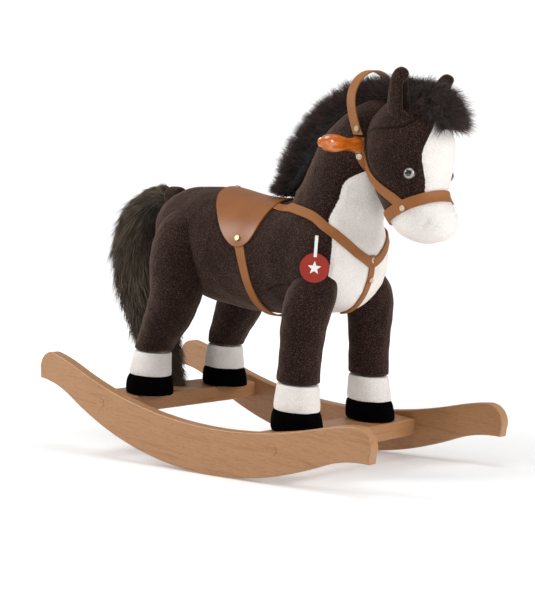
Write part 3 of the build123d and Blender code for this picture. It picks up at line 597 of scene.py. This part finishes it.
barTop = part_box("front_crossbar")[1].z / mm
body = joined("bodyPlush", [loftMesh("barrel", ringTable(horse["barrel"]), 110, 96),
                            loftMesh("neck", ringTable(horse["neck"]), 80, 80)])
applyModifier(body, "REMESH", mode="VOXEL", voxel_size=horse["voxel"] * mm)
relax(body, 8)
skin = getPoints(body)
sx, sz, out, across, onset = (v * mm for v in horse["shoulder"])
rise = out * np.exp(-((skin[:, 0] - sx) ** 2 + (skin[:, 2] - sz) ** 2) / across**2)
skin[:, 1] += rise * np.tanh(skin[:, 1] / onset)
setPoints(body, skin)
head = loftMesh("headPlush", ringTable(horseHead["rings"]), 100, 90)
applyModifier(head, "REMESH", mode="VOXEL", voxel_size=horseHead["voxel"] * mm)
relax(head, 3)
cuffs = []
for end in ("front", "rear"):
    heights = (("leg", legs["sockTop"], legs[end][-1][2], 50),
               ("sock", legs["hoofTop"], legs["sockTop"], 14),
               ("hoof", 0.0, legs["hoofTop"], 12))
    for hand in ("right", "left"):
        for label, low, high, rows in heights:
            swell, tuck = legs["bands"][label]
            band = cuff(end, hand, low, high, swell, tuck, rows)
            piece = loftMesh(f"{end}{hand.title()}{label.title()}", band, rows + 16, 56)
            cuffs.append((piece, f"{end}_{hand}_{label}", label))
print("plush shapes")

strapSkin = surfaceSamples(("saddle", "girth_strap", "right_breast_strap", "left_breast_strap",
                            "martingale_strap", "noseband", "right_cheek_strap", "left_cheek_strap"),
                           stuffing["spacing"] * mm, stuffing["seed"])


def stuff(pieces):
    # air pressure swells each cloth skin from slightly inside its shape; no point may pass the cap
    shapes = {obj.name: getPoints(obj) for obj in pieces}
    starts = {}
    for obj in pieces:
        starts[obj.name] = shapes[obj.name] - getNormals(obj) * stuffing["start"] * mm
        setPoints(obj, starts[obj.name])
        cloth = obj.modifiers.new("stuffing", "CLOTH")
        cloth.settings.use_pressure = True
        cloth.settings.uniform_pressure_force = stuffing["pressure"]
        cloth.settings.effector_weights.gravity = 0.0
        cloth.settings.quality = stuffing["quality"]
        cloth.settings.tension_stiffness = stuffing["tension"]
        cloth.settings.bending_stiffness = stuffing["bending"]
        cloth.collision_settings.use_collision = False
        cloth.point_cache.frame_start = 1
        cloth.point_cache.frame_end = stuffing["frames"]
    for f in range(1, stuffing["frames"] + 1):
        bpy.context.scene.frame_set(f)
    dg = bpy.context.evaluated_depsgraph_get()
    moved = {}
    for obj in pieces:
        mesh = obj.evaluated_get(dg).data
        co = np.zeros(len(mesh.vertices) * 3)
        mesh.vertices.foreach_get("co", co)
        moved[obj.name] = co.reshape(-1, 3)
    bpy.context.scene.frame_set(1)
    for obj in pieces:
        obj.modifiers.clear()
        step = moved[obj.name] - starts[obj.name]
        size = np.linalg.norm(step, axis=1)[:, None]
        print(obj.name, "moved", round(float(size.mean() / mm), 2), "mm")
        held = np.minimum(1, stuffing["cap"] * mm / np.maximum(size, 1e-9))
        setPoints(obj, starts[obj.name] + step * held)
    return shapes


def bedStraps(obj, shape):
    # near the tack the plush is pressed just under the leather's inner face, and rises freely away from it
    now = getPoints(obj)
    reach = stuffing["reach"] * mm
    free = ease(nearest(now, strapSkin, reach), stuffing["pressed"] * mm, reach)[:, None]
    bedded = shape - getNormals(obj) * stuffing["bed"] * mm
    setPoints(obj, bedded + (now - bedded) * free)


def groove(obj, distance, depth, width):
    # the skin sinks along a seam by depth e^-(distance/width)^2; the fall is returned, and along the forehand and
    # temple seams it becomes painted shade
    fall = np.exp(-((distance / (width * mm)) ** 2))
    setPoints(obj, getPoints(obj) - getNormals(obj) * (fall * depth * mm)[:, None])
    return fall


def crumple(obj, amount, wavelength, seed):
    # low broad unevenness of a hand-filled skin
    p = getPoints(obj)
    setPoints(obj, p + getNormals(obj) * (ripple(p, wavelength * mm, seed) * amount * mm)[:, None])


def curveDistance(p, points, reach):
    # distance to a smooth line through points in mm
    line = smoothRows(np.asarray(points, float), np.linspace(0, len(points) - 1, 40 * len(points))) * mm
    return nearest(p, line, reach * mm)


plushPieces = [body, head] + [piece for piece, _, _ in cuffs]
shapes = {obj.name: getPoints(obj) for obj in plushPieces}
shapes = stuff(plushPieces)
for obj in (body, head):
    bedStraps(obj, shapes[obj.name])
    relax(obj, 1, 0.3)
for obj in plushPieces:
    subdivide(obj)
print("plush stuffed")

seams = {
    # lines on the near side of the skin, mirrored to the far side
    "forehand": ((64, -79, 295), (90, -83, 306), (112, -84, 311), (151, -98, 311), (175, -95, 306),
                 (188, -81, 298)),
    "temple": ((211, -51, 549), (230, -56, 560), (258, -61, 564), (283, -57, 567), (295, -49, 574),
               (305, -39, 584)),
    "nostril": ((326, -39, 419), (328, -39, 425), (332, -37, 429)),
    # depth and width of each groove in mm, and how far from it the skin is measured
    "patchGroove": (1.6, 3.0), "blazeGroove": (1.2, 2.6), "forehandGroove": (1.8, 2.2),
    "templeGroove": (1.4, 2.2), "nostrilGroove": (3.0, 4.5), "reach": 12, "nostrilReach": 14,
    # metres outside the white fur, for skin that is too far back to be in it
    "outside": -0.03,
}


def mirrored(p):
    # both sides of the horse share a seam drawn on its right side
    return np.stack([p[:, 0], -np.abs(p[:, 1]), p[:, 2]], -1)


p = getPoints(body)
patch = np.where(p[:, 0] > horse["patchBack"] * mm,
                 insideDistance(p[:, 1:], outlineCurve(horse["patch"])), seams["outside"])
crumple(body, 1.0, 70, 3)
crumple(body, 0.5, 28, 4)
groove(body, patch, *seams["patchGroove"])
forehand = curveDistance(mirrored(p), seams["forehand"], seams["reach"])
# the forehand groove's fall is also painted as shade in its crease
seamShadeMark = groove(body, forehand, *seams["forehandGroove"])
setAttribute(body, "second", patch)
setAttribute(body, "seamShade", seamShadeMark)
body.data.materials.append(twoPlush)

p = getPoints(head)
blaze = np.where(p[:, 0] > horseHead["blazeBack"] * mm,
                 insideDistance(p[:, 1:], outlineCurve(horseHead["blaze"])), seams["outside"])
slope = math.radians(horseHead["bandSlope"])
x0, z0 = (v * mm for v in horseHead["bandFront"])
belowBand = (p[:, 0] - x0) * math.sin(slope) - (p[:, 2] - z0) * math.cos(slope)
white = np.maximum(blaze, belowBand)
crumple(head, 0.5, 45, 5)
groove(head, blaze, *seams["blazeGroove"])
temple = curveDistance(mirrored(p), seams["temple"], seams["reach"])
# the temple groove's fall is also painted as shade in its crease
seamShadeMark = groove(head, temple, *seams["templeGroove"])
nostril = curveDistance(mirrored(p), seams["nostril"], seams["nostrilReach"])
groove(head, nostril, *seams["nostrilGroove"])
setAttribute(head, "second", white)
setAttribute(head, "seamShade", seamShadeMark)
head.data.materials.append(twoPlush)

for obj, node, label in cuffs:
    crumple(obj, 0.7 if label == "leg" else 0.35, 26, 7)
    setAttribute(obj, "second", np.full(len(obj.data.vertices), -1.0))
    setAttribute(obj, "seamShade", np.zeros(len(obj.data.vertices)))
    obj.data.materials.append({"leg": brownPlush, "sock": whitePlush, "hoof": blackPlush}[label])
    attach(obj, "horse")
    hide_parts(node)

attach(body, "horse")
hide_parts("torso", "neck", "chest_patch")
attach(head, "horse")
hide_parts("head", "blaze", "muzzle")
print("body, head and legs")

ears = {
    # x, y, z, half length, half width, tilt, for the left ear
    "rings": ((270, 32, 560, 23, 20, 0), (271, 37, 580, 23, 18, 0), (273, 47, 602, 23, 13, 0),
              (276, 55, 626, 20, 10, 0), (278, 59, 642, 16, 8, 0), (279, 60, 650, 12, 6.5, 0),
              (279, 60, 654, 7, 4, 0), (279, 60, 656, 1.5, 1, 0)),
    # the hollow opens forwards: depth as a share of the half length, half angle, which way it faces
    # (radians towards the other ear) and its heights
    "hollow": 1.1, "spread": 0.85, "faces": -0.05, "from": 582, "to": 650,
    # where the painted shade in the hollow begins, as a share of the hollow's depth
    "hollowShadeFrom": 0.35,
    "fill": 0.7,
}
for hand, way in (("right", -1), ("left", 1)):
    table = ringTable(ears["rings"])
    table[:, 1] *= way
    rows, cols = 60, 64
    row, turn = loftGrid(table, rows, cols)
    points, _ = loftPoint(table, row, turn)
    facing = np.angle(np.exp(1j * (turn + way * ears["faces"])))
    height = (points[..., 2] / mm - ears["from"]) / (ears["to"] - ears["from"])
    fold = np.clip(height * 4, 0, 1) * np.clip((1 - height) * 2.2, 0, 1)
    deep = np.exp(-((facing / ears["spread"]) ** 4)) * fold * fold * (3 - 2 * fold)
    centre = smoothRows(table, row)[..., :3]
    spoke = points[..., :2] - centre[..., :2]
    points[..., :2] = centre[..., :2] + spoke * (1 - ears["hollow"] * deep)[..., None]
    verts = np.vstack([points.reshape(-1, 3), table[[0, -1], :3]])
    ear = outward(makeMesh(f"{hand}EarPlush", verts, gridFaces(rows, cols)))
    # the deep part of the hollow takes the darker tones: painted shade in the recess
    inner = np.full(len(ear.data.vertices), -ears["hollowShadeFrom"])
    inner[:rows * cols] = deep.reshape(-1) - ears["hollowShadeFrom"]
    setAttribute(ear, "second", inner * 0.01)
    setAttribute(ear, "seamShade", np.zeros(len(ear.data.vertices)))
    relax(ear, 2)
    ear.data.materials.append(earPlush)
    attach(ear, "horse")
    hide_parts(f"{hand}_ear")

dock = {
    # the stub that the tail is sewn to, along X inside the rump
    "rings": ((-262, 0, 424, 3, 3, 90), (-261, 0, 424, 12, 12, 90), (-256, 0, 424, 17, 17, 90),
              (-246, 0, 424, 18, 18, 90), (-232, 0, 424, 17.5, 17.5, 90), (-226, 0, 424, 12, 12, 90),
              (-225, 0, 424, 3, 3, 90)),
    "fill": 0.8,
}
stub = loftMesh("tailDockPlush", ringTable(dock["rings"]), 40, 48)
setAttribute(stub, "second", np.full(len(stub.data.vertices), -1.0))
setAttribute(stub, "seamShade", np.zeros(len(stub.data.vertices)))
stub.data.materials.append(brownPlush)
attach(stub, "tail_root")
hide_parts("tail_dock")
print("ears and dock")


harness = {
    # middle lines over the chest: from the saddle's front to where the three straps meet,
    # and from there down between the legs
    "breast": ((34, -52, 445), (60, -58, 436), (90, -68, 431), (117, -78, 427), (140, -80, 422),
               (157, -77, 414), (176, -72, 403), (190, -62, 391), (199, -47, 379), (206, -28, 366),
               (210, -8, 356), (210, 2, 351)),
    "martingale": ((209, 0, 366), (211, 0, 356), (210, 0, 340), (207, 0, 325), (202, 0, 310),
                   (190, 0, 291), (175, 0, 275), (157, 0, 265)),
    "width": 15.5, "martingaleShare": 0.8, "thickness": 2.6, "edgeRound": 0.9,
    # gap under a strap, and what the left one has more of it where they cross
    "lift": 0.5, "crossing": 0.6,
    "smoothing": 30,
}


def strapOn(surface, name, points, width, thickness, lift):
    # a flat section with cut corners, carried along a smooth line that is laid on the skin:
    # point = line + u across + v normal
    line = smoothRows(np.asarray(points, float), np.linspace(0, len(points) - 1, 16 * len(points))) * mm
    found = [surface.find_nearest(Vector(q)) for q in line]
    line = np.array([hit[0] for hit in found])
    normal = np.array([hit[1] for hit in found])
    for _ in range(harness["smoothing"]):
        line[1:-1] = 0.25 * line[:-2] + 0.5 * line[1:-1] + 0.25 * line[2:]
        normal[1:-1] = 0.25 * normal[:-2] + 0.5 * normal[1:-1] + 0.25 * normal[2:]
    along = np.gradient(line, axis=0)
    along /= np.linalg.norm(along, axis=1)[:, None]
    normal -= (normal * along).sum(1)[:, None] * along
    normal /= np.linalg.norm(normal, axis=1)[:, None]
    across = np.cross(along, normal)
    w, t, r = width / 2 * mm, thickness * mm, harness["edgeRound"] * mm
    u = np.array([-w, -w, -w + r, -w / 3, w / 3, w - r, w, w, w - r, w / 3, -w / 3, -w + r])
    v = np.array([r, t - r, t, t, t, t, t - r, r, 0, 0, 0, 0]) + lift * mm
    grid = line[:, None] + u[None, :, None] * across[:, None] + v[None, :, None] * normal[:, None]
    ends = line[[0, -1]] + (lift * mm + t / 2) * normal[[0, -1]]
    verts = np.vstack([grid.reshape(-1, 3), ends])
    strap = outward(makeMesh(name, verts, gridFaces(len(line), len(u)), smooth=False))
    strap.data.materials.append(strapLeather)
    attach(strap, "horse")
    return strap


bodySkin = BVHTree.FromObject(body, bpy.context.evaluated_depsgraph_get())
for hand, way, extra in (("right", 1, 0), ("left", -1, harness["crossing"])):
    route = [(x, way * y, z) for x, y, z in harness["breast"]]
    breast = strapOn(bodySkin, f"{hand}BreastStrap", route, harness["width"], harness["thickness"],
                     harness["lift"] + extra)
    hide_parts(f"{hand}_breast_strap")
martingale = strapOn(bodySkin, "martingaleStrap", harness["martingale"],
                     harness["width"] * harness["martingaleShare"], harness["thickness"], harness["lift"])
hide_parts("martingale_strap")
print("breast straps")


def facesOf(obj, offset):
    # the corners of every face, read as one array and cut where each face starts
    corners = np.zeros(len(obj.data.loops), int)
    starts = np.zeros(len(obj.data.polygons), int)
    obj.data.loops.foreach_get("vertex_index", corners)
    obj.data.polygons.foreach_get("loop_start", starts)
    return [part.tolist() for part in np.split(corners + offset, starts[1:])]


fur = {
    # where along a strand its points are, the power of its taper, and the tone under the strands
    "stations": (0.0, 0.3, 0.6, 0.85, 1.0), "taper": 0.7, "coreTone": 0.1,
    # spread of lengths and of widths about the piece's own
    "lengths": (0.55, 1.15), "widths": (0.7, 1.3),
}


def evenLength(places):
    return 1.0


def furPiece(name, core, root, spec, heading, seed, grow=evenLength):
    # strands are ribbons that leave the core and bend: root + length (s start + s^2 bend),
    # with width (1-s)^taper
    rng = np.random.default_rng(seed)
    n = spec["strands"]
    places, normals, flow = root(rng, n)
    start, bend = heading(normals, flow)
    start = start + rng.normal(0, spec["scatter"], (n, 3))
    start /= np.linalg.norm(start, axis=1)[:, None]
    bend = bend + rng.normal(0, spec["scatter"], (n, 3))
    length = spec["length"] * mm * rng.uniform(*fur["lengths"], n) * grow(places)
    tips = places + length[:, None] * (start + bend)
    leaders = rng.choice(n, spec["clumps"], replace=False)
    nearestLeader = np.concatenate([np.argmin(((q[:, None] - places[leaders][None]) ** 2).sum(-1), 1)
                                    for q in np.array_split(places, max(1, n // 1500))])
    pull = tips[leaders][nearestLeader] - tips
    bend = bend + spec["clumping"] * pull / length[:, None]
    stations = np.array(fur["stations"])
    s = stations[None, :, None]
    line = places[:, None] + length[:, None, None] * (s * start[:, None] + s**2 * bend[:, None])
    across = np.cross(start + 0.5 * bend, rng.normal(size=(n, 3)))
    across /= np.linalg.norm(across, axis=1)[:, None] + 1e-12
    wide = spec["width"] * mm / 2 * (1 - s[:, :4]) ** fur["taper"]
    wide = wide * rng.uniform(*fur["widths"], n)[:, None, None]
    left, right = line[:, :4] - across[:, None] * wide, line[:, :4] + across[:, None] * wide
    verts = np.concatenate([np.stack([left, right], 2).reshape(n, 8, 3), line[:, 4:]], 1)
    each = verts.shape[1]
    first = np.arange(n)[:, None] * each
    quads = [(first + np.array(q)).tolist() for q in ((0, 1, 3, 2), (2, 3, 5, 4), (4, 5, 7, 6))]
    faces = quads[0] + quads[1] + quads[2] + (first + np.array((6, 7, 8))).tolist()
    strandPoints = verts.reshape(-1, 3)
    along = np.tile(np.repeat(stations, 2)[:-1], n)
    clumpTone = rng.random(spec["clumps"])[nearestLeader]
    tone = np.repeat(np.clip(0.5 * clumpTone + 0.5 * rng.random(n), 0, 1), each)
    coreVerts = getPoints(core)
    coreFaces = facesOf(core, len(strandPoints))
    bpy.data.objects.remove(core)
    piece = makeMesh(name, np.vstack([strandPoints, coreVerts]), faces + coreFaces)
    setAttribute(piece, "tone", np.concatenate([tone, np.full(len(coreVerts), fur["coreTone"])]))
    setAttribute(piece, "along", np.concatenate([along, np.zeros(len(coreVerts))]))
    print(name, n, "strands", len(faces) * 2 + len(coreFaces) * 2, "triangles at most")
    return piece


mane = {
    # x, z, half depth, half width and tilt of the crest, then how much of it the skin under the hair fills
    "rings": ((22, 0, 448, 12, 9, 20), (24, 0, 452, 14, 10, 20), (42, 0, 486, 26, 16, 24),
              (66, 0, 525, 28, 20, 32), (96, 0, 562, 27, 22, 42), (130, 0, 590, 25, 22, 58),
              (172, 0, 608, 22, 20, 74), (215, 0, 614, 18, 20, 88), (252, 0, 614, 16, 20, 92),
              (256, 0, 614, 10, 12, 92)),
    "skin": 0.78,
    "strands": 24000, "length": 21, "width": 0.85, "scatter": 0.20, "clumps": 420, "clumping": 0.30,
    "lean": 0.35, "spread": 0.95,
}


def spineOf(table, rows):
    # direction of travel along the crest
    r = smoothRows(table, rows)
    after = smoothRows(table, rows + 0.05)
    d = after[..., :3] - r[..., :3]
    return d / (np.linalg.norm(d, axis=-1, keepdims=True) + 1e-12)


def skinTable(piece):
    table = ringTable(piece["rings"])
    table[:, 3:5] *= piece["skin"]
    return table


def crestRoots(piece, spread):
    # roots over the outer side of the crest, turned away from the neck
    table = skinTable(piece)

    def roots(rng, n):
        row = rng.uniform(0, len(table) - 1, n)
        turn = math.pi + rng.normal(0, spread, n)
        return *loftPoint(table, row, turn), spineOf(table, row)
    return roots


def maneHeading(normals, flow):
    # hair stands out from the crest, a little back down the neck, and its ends drop
    back = np.array([-0.35, 0.0, -0.10])
    return normals + back * mane["lean"], np.array([-0.12, 0.0, 0.05]) + 0 * normals


maneCore = loftMesh("maneCore", skinTable(mane), 60, 32)
manePiece = furPiece("maneHair", maneCore, crestRoots(mane, mane["spread"]), mane, maneHeading, 21)
manePiece.data.materials.append(maneFur)
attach(manePiece, "horse")
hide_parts("mane")

forelock = {
    "rings": ((250, 0, 614, 10, 12, 92), (258, 0, 616, 16, 20, 92), (285, 0, 616, 19, 28, 100),
              (312, 0, 604, 22, 30, 128), (328, 0, 584, 16, 24, 155), (333, 0, 570, 7, 12, 165)),
    "skin": 0.72,
    "strands": 12000, "length": 24, "width": 0.8, "scatter": 0.28, "clumps": 160, "clumping": 0.25,
    "spread": 1.3,
}


def forelockHeading(normals, flow):
    # a round tuft that falls forwards over the brow
    return normals + np.array([0.25, 0.0, 0.1]), np.array([0.25, 0.0, -0.35]) + 0 * normals


forelockCore = loftMesh("forelockCore", skinTable(forelock), 40, 32)
forelockPiece = furPiece("forelockHair", forelockCore, crestRoots(forelock, forelock["spread"]), forelock,
                         forelockHeading, 22)
forelockPiece.data.materials.append(maneFur)
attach(forelockPiece, "horse")
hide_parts("forelock")

tail = {
    "rings": ((-258, 0, 424, 8, 8, -90), (-262, 0, 424, 12, 12, -90), (-270, 0, 424, 15, 15, -90),
              (-297, 0, 414, 27, 26, -112), (-325, 0, 380, 41, 39, -145), (-337, 0, 326, 48, 46, -178),
              (-323, 0, 264, 49, 45, -203), (-291, 0, 204, 44, 40, -208), (-258, 0, 148, 31, 28, -208),
              (-232, 0, 100, 12, 12, -205), (-230, 0, 97, 4, 4, -205)),
    "skin": 0.76,
    "strands": 26000, "length": 46, "width": 1.1, "scatter": 0.12, "clumps": 520, "clumping": 0.35,
    # strands are short at the dock and reach their full length some way from it, in metres
    "dock": (-0.262, 0.424), "shortest": 0.45, "growth": (0.02, 0.09),
}
tailTable = skinTable(tail)


def tailGrow(places):
    x, z = tail["dock"]
    away = np.hypot(places[:, 0] - x, places[:, 2] - z)
    return tail["shortest"] + (1 - tail["shortest"]) * ease(away, *tail["growth"])


def tailRoots(rng, n):
    row = rng.uniform(1, len(tailTable) - 1.2, n)
    turn = rng.uniform(0, 2 * math.pi, n)
    return *loftPoint(tailTable, row, turn), spineOf(tailTable, row)


def tailHeading(normals, flow):
    # combed down the tail, lifting off at first and bending back towards it
    return flow + 0.42 * normals, 0.10 * flow - 0.12 * normals


tailCore = loftMesh("tailCore", tailTable, 70, 40)
tailPiece = furPiece("tailHair", tailCore, tailRoots, tail, tailHeading, 23, tailGrow)
tailPiece.data.materials.append(tailFur)
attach(tailPiece, "tail")
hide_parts("tail")
print("mane, forelock and tail")

star = {
    "outer": 11.0, "inner": 4.8, "points": 5, "lift": 0.25, "crown": 0.35, "heading": 34,
    "centre": (171, -96, 343),
}
turn = np.arange(2 * star["points"]) * math.pi / star["points"] + math.pi / 2
size = np.where(np.arange(2 * star["points"]) % 2 == 0, star["outer"], star["inner"])
shares = np.array([1.0, 0.97, 0.6, 0.2])[:, None]
u, v = shares * size * np.cos(turn), shares * size * np.sin(turn)
height = star["lift"] + star["crown"] * np.array([0.0, 0.7, 0.9, 1.0])[:, None] + 0 * u
away = math.radians(star["heading"])
axes = np.array([[math.cos(away), math.sin(away), 0], [0, 0, 1], [math.sin(away), -math.cos(away), 0]])
grid = (np.stack([u, v, height], -1) @ axes + star["centre"]) * mm
ends = (np.array([[0, 0, star["lift"]], [0, 0, star["lift"] + star["crown"]]]) @ axes + star["centre"]) * mm
verts = np.vstack([grid.reshape(-1, 3), ends])
tagStar = outward(makeMesh("tagStar", verts, gridFaces(len(shares), 2 * star["points"]), smooth=False))
tagStar.data.materials.append(whiteWeave)
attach(tagStar, "hang_tag")
print("tag mark")

studio = {
    # where the picture is taken from: degrees round and up, metres away, the point looked at, and the camera's lean
    "azimuth": 41.476, "elevation": 6.246, "distance": 2.19965, "target": (-0.0063, 0.0, 0.2759),
    "roll": 4.208, "lens": 79.22, "sensor": 36.0,
    # the floor touches the runners where the rocker comes to rest, and rises towards its head
    "restX": 0.068, "restZ": 0.0036, "lean": 6.0, "floorSize": 14.0, "floorGap": 0.0005,
    "worldSeen": 1.05, "worldLight": 0.42, "floorTone": 0.78,
    # the floor glows more from one distance to the other, so it fades into the white
    "glowNear": 0.22, "glowFar": 0.75, "glowStart": 0.6, "glowEnd": 1.9,
    "lampsAim": (0, 0, 0.3),
}
az, el, roll = (math.radians(studio[k]) for k in ("azimuth", "elevation", "roll"))
back = Vector((math.sin(az) * math.cos(el), -math.cos(az) * math.cos(el), math.sin(el)))
side = (-back).cross(Vector((0, 0, 1))).normalized()
upward = side.cross(-back)
camera = bpy.data.objects.new("camera", bpy.data.cameras.new("camera"))
camera.data.lens = studio["lens"]
camera.data.sensor_width = studio["sensor"]
leanedSide = side * math.cos(roll) + upward * math.sin(roll)
leanedUp = -side * math.sin(roll) + upward * math.cos(roll)
place = Vector(studio["target"]) + back * studio["distance"]
camera.matrix_world = Matrix.Translation(place) @ Matrix((leanedSide, leanedUp, back)).transposed().to_4x4()
bpy.context.scene.collection.objects.link(camera)
bpy.context.scene.camera = camera

half = studio["floorSize"] / 2
slope = math.tan(math.radians(studio["lean"]))
corners = np.array([(-half, -half), (half, -half), (half, half), (-half, half)])
height = studio["restZ"] + slope * (corners[:, 0] - studio["restX"]) - studio["floorGap"]
floorPoints = np.column_stack([corners, height])
floor = makeMesh("floor", floorPoints, [[0, 1, 2, 3]], smooth=False)
floorMaterial, floorTree, floorShader, floorCoords = newMaterial("pale floor")
tone = studio["floorTone"]
floorClouds = noise(floorTree, floorCoords, 3.0)
floorColour = ramp(floorTree, floorClouds, (0.3, (tone,) * 3), (0.7, (1.02 * tone,) * 3))
floorTree.links.new(floorColour, floorShader.inputs["Base Color"])
away = addNode(floorTree, "ShaderNodeVectorMath", {0: floorCoords}, operation="LENGTH").outputs["Value"]
glow = addNode(floorTree, "ShaderNodeMapRange",
               {"Value": away, "From Min": studio["glowStart"], "From Max": studio["glowEnd"],
                "To Min": studio["glowNear"], "To Max": studio["glowFar"]}, interpolation_type="SMOOTHSTEP")
floorTree.links.new(glow.outputs[0], floorShader.inputs["Emission Strength"])
setSockets(floorShader, {"Emission Color": (1, 1, 1, 1), "Roughness": 0.9, "Specular IOR Level": 0.0})
floor.data.materials.append(floorMaterial)

world = bpy.data.worlds.new("studio")
bpy.context.scene.world = world
world.use_nodes = True
background = world.node_tree.nodes["Background"]
background.inputs["Color"].default_value = (1, 1, 1, 1)
seen = world.node_tree.nodes.new("ShaderNodeLightPath").outputs["Is Camera Ray"]
strength = addNode(world.node_tree, "ShaderNodeMapRange",
                   {"Value": seen, "To Min": studio["worldLight"], "To Max": studio["worldSeen"]})
world.node_tree.links.new(strength.outputs[0], background.inputs["Strength"])
softboxes = {
    # place, power in watts, size in metres
    "left": ((-2.1, -1.7, 1.7), 48, 1.1),
    "right": ((2.5, 0.5, 1.5), 34, 1.2),
    "top": ((0.1, -0.4, 2.8), 28, 1.4),
}
for name, (at, power, size) in softboxes.items():
    light = bpy.data.lights.new(name, "AREA")
    light.energy, light.size = power, size
    lamp = bpy.data.objects.new(name, light)
    lamp.location = at
    lamp.rotation_euler = (Vector(studio["lampsAim"]) - Vector(at)).to_track_quat("-Z", "Y").to_euler()
    bpy.context.scene.collection.objects.link(lamp)
bpy.context.scene.view_settings.view_transform = "Standard"
print("studio")
